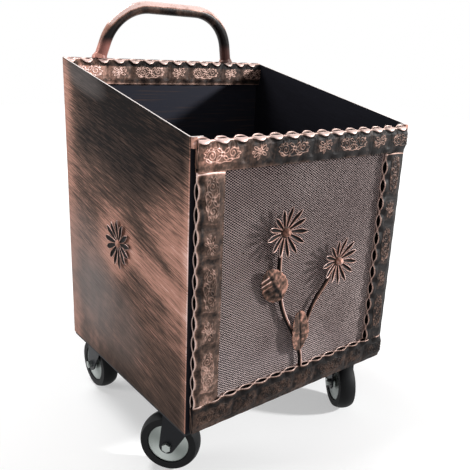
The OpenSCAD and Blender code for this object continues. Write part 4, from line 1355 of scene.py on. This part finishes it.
class LOGCART_OT_stage(bpy.types.Operator):
    """Set up the floor, the lamps and the camera"""

    bl_idname = "log_cart.stage"
    bl_label = "Stage"

    def execute(self, context):
        scene = context.scene
        scene.view_settings.view_transform = "Standard"
        mesh = bpy.data.meshes.new("floor")
        signs = ((-1, -1), (1, -1), (1, 1), (-1, 1))
        corners = [(x * FLOOR_HALF, y * FLOOR_HALF, 0) for x, y in signs]
        mesh.from_pydata(corners, [], [range(4)])
        floor = bpy.data.objects.new("floor", mesh)
        scene.collection.objects.link(floor)
        mesh.materials.append(floor_paint())
        world = bpy.data.worlds.new("studio")
        world.use_nodes = True
        scene.world = world
        sky = Graph(world.node_tree)
        shade = world.node_tree.nodes["Background"]
        shade.inputs["Color"].default_value = WHITE
        sky.feed(shade.inputs["Strength"], seen_background(sky) * (1.0 - WORLD_LIGHT) + WORLD_LIGHT)
        for name, (place, size, power) in LAMPS.items():
            data = bpy.data.lights.new(name, "AREA")
            data.size = size
            data.energy = power
            lamp = bpy.data.objects.new(name, data)
            lamp.rotation_euler = (Vector(place) - CART_MIDDLE).to_track_quat("Z", "Y").to_euler()
            lamp.location = place
            scene.collection.objects.link(lamp)
        scene.camera = aimed_camera()
        return {"FINISHED"}


# Where the photograph was taken from, in metres from the middle of the box's depth and from the
# ground, how the camera is turned, in degrees, and its lens and sensor, in millimetres
CAMERA_PLACE = (-0.6257, -0.8045, 0.6534)
CAMERA_TURN = -38.665
CAMERA_TILT = 17.33
CAMERA_ROLL = 2.52
CAMERA_LENS = 44.21
CAMERA_SENSOR = 36.0


def aimed_camera():
    """The camera of the photograph."""
    data = bpy.data.cameras.new("photo_camera")
    data.lens = CAMERA_LENS
    data.sensor_width = CAMERA_SENSOR
    data.clip_start = 10 * MM
    camera = bpy.data.objects.new("photo_camera", data)
    turn = Matrix.Rotation(math.radians(CAMERA_TURN), 4, "Z")
    tilt = Matrix.Rotation(math.radians(90 - CAMERA_TILT), 4, "X")
    roll = Matrix.Rotation(math.radians(CAMERA_ROLL), 4, "Z")
    place = (CAMERA_PLACE[0], CAMERA_PLACE[1] + BOX_Y, CAMERA_PLACE[2])
    camera.matrix_world = Matrix.Translation(place) @ turn @ tilt @ roll
    bpy.context.scene.collection.objects.link(camera)
    return camera


class LOGCART_PT_panel(bpy.types.Panel):
    """Lists the operators that build the cart"""

    bl_label = "Log Cart"
    bl_space_type = "VIEW_3D"
    bl_region_type = "UI"
    bl_category = "Log Cart"

    def draw(self, context):
        for operator in OPERATORS:
            self.layout.operator(operator.bl_idname)


GROUPS = {
    "log_cart_bands": LogCartBandSizes,
    "log_cart_mesh": LogCartMeshSizes,
    "log_cart_daisies": LogCartDaisySizes,
    "log_cart_colours": LogCartColours,
}
OPERATORS = (
    LOGCART_OT_finishes,
    LOGCART_OT_bands,
    LOGCART_OT_mesh,
    LOGCART_OT_daisies,
    LOGCART_OT_leaves,
    LOGCART_OT_discs,
    LOGCART_OT_stage,
)


def register():
    """Registers the sizes, the operators and the panel."""
    for name, group in GROUPS.items():
        bpy.utils.register_class(group)
        setattr(bpy.types.Scene, name, bpy.props.PointerProperty(type=group))
    for operator in OPERATORS:
        bpy.utils.register_class(operator)
    bpy.utils.register_class(LOGCART_PT_panel)


def unregister():
    """Removes what register added."""
    bpy.utils.unregister_class(LOGCART_PT_panel)
    for operator in reversed(OPERATORS):
        bpy.utils.unregister_class(operator)
    for name, group in GROUPS.items():
        delattr(bpy.types.Scene, name)
        bpy.utils.unregister_class(group)


def main():
    """Builds the whole cart."""
    register()
    for operator in OPERATORS:
        family, name = operator.bl_idname.split(".")
        getattr(getattr(bpy.ops, family), name)()


if __name__ == "__main__":
    main()
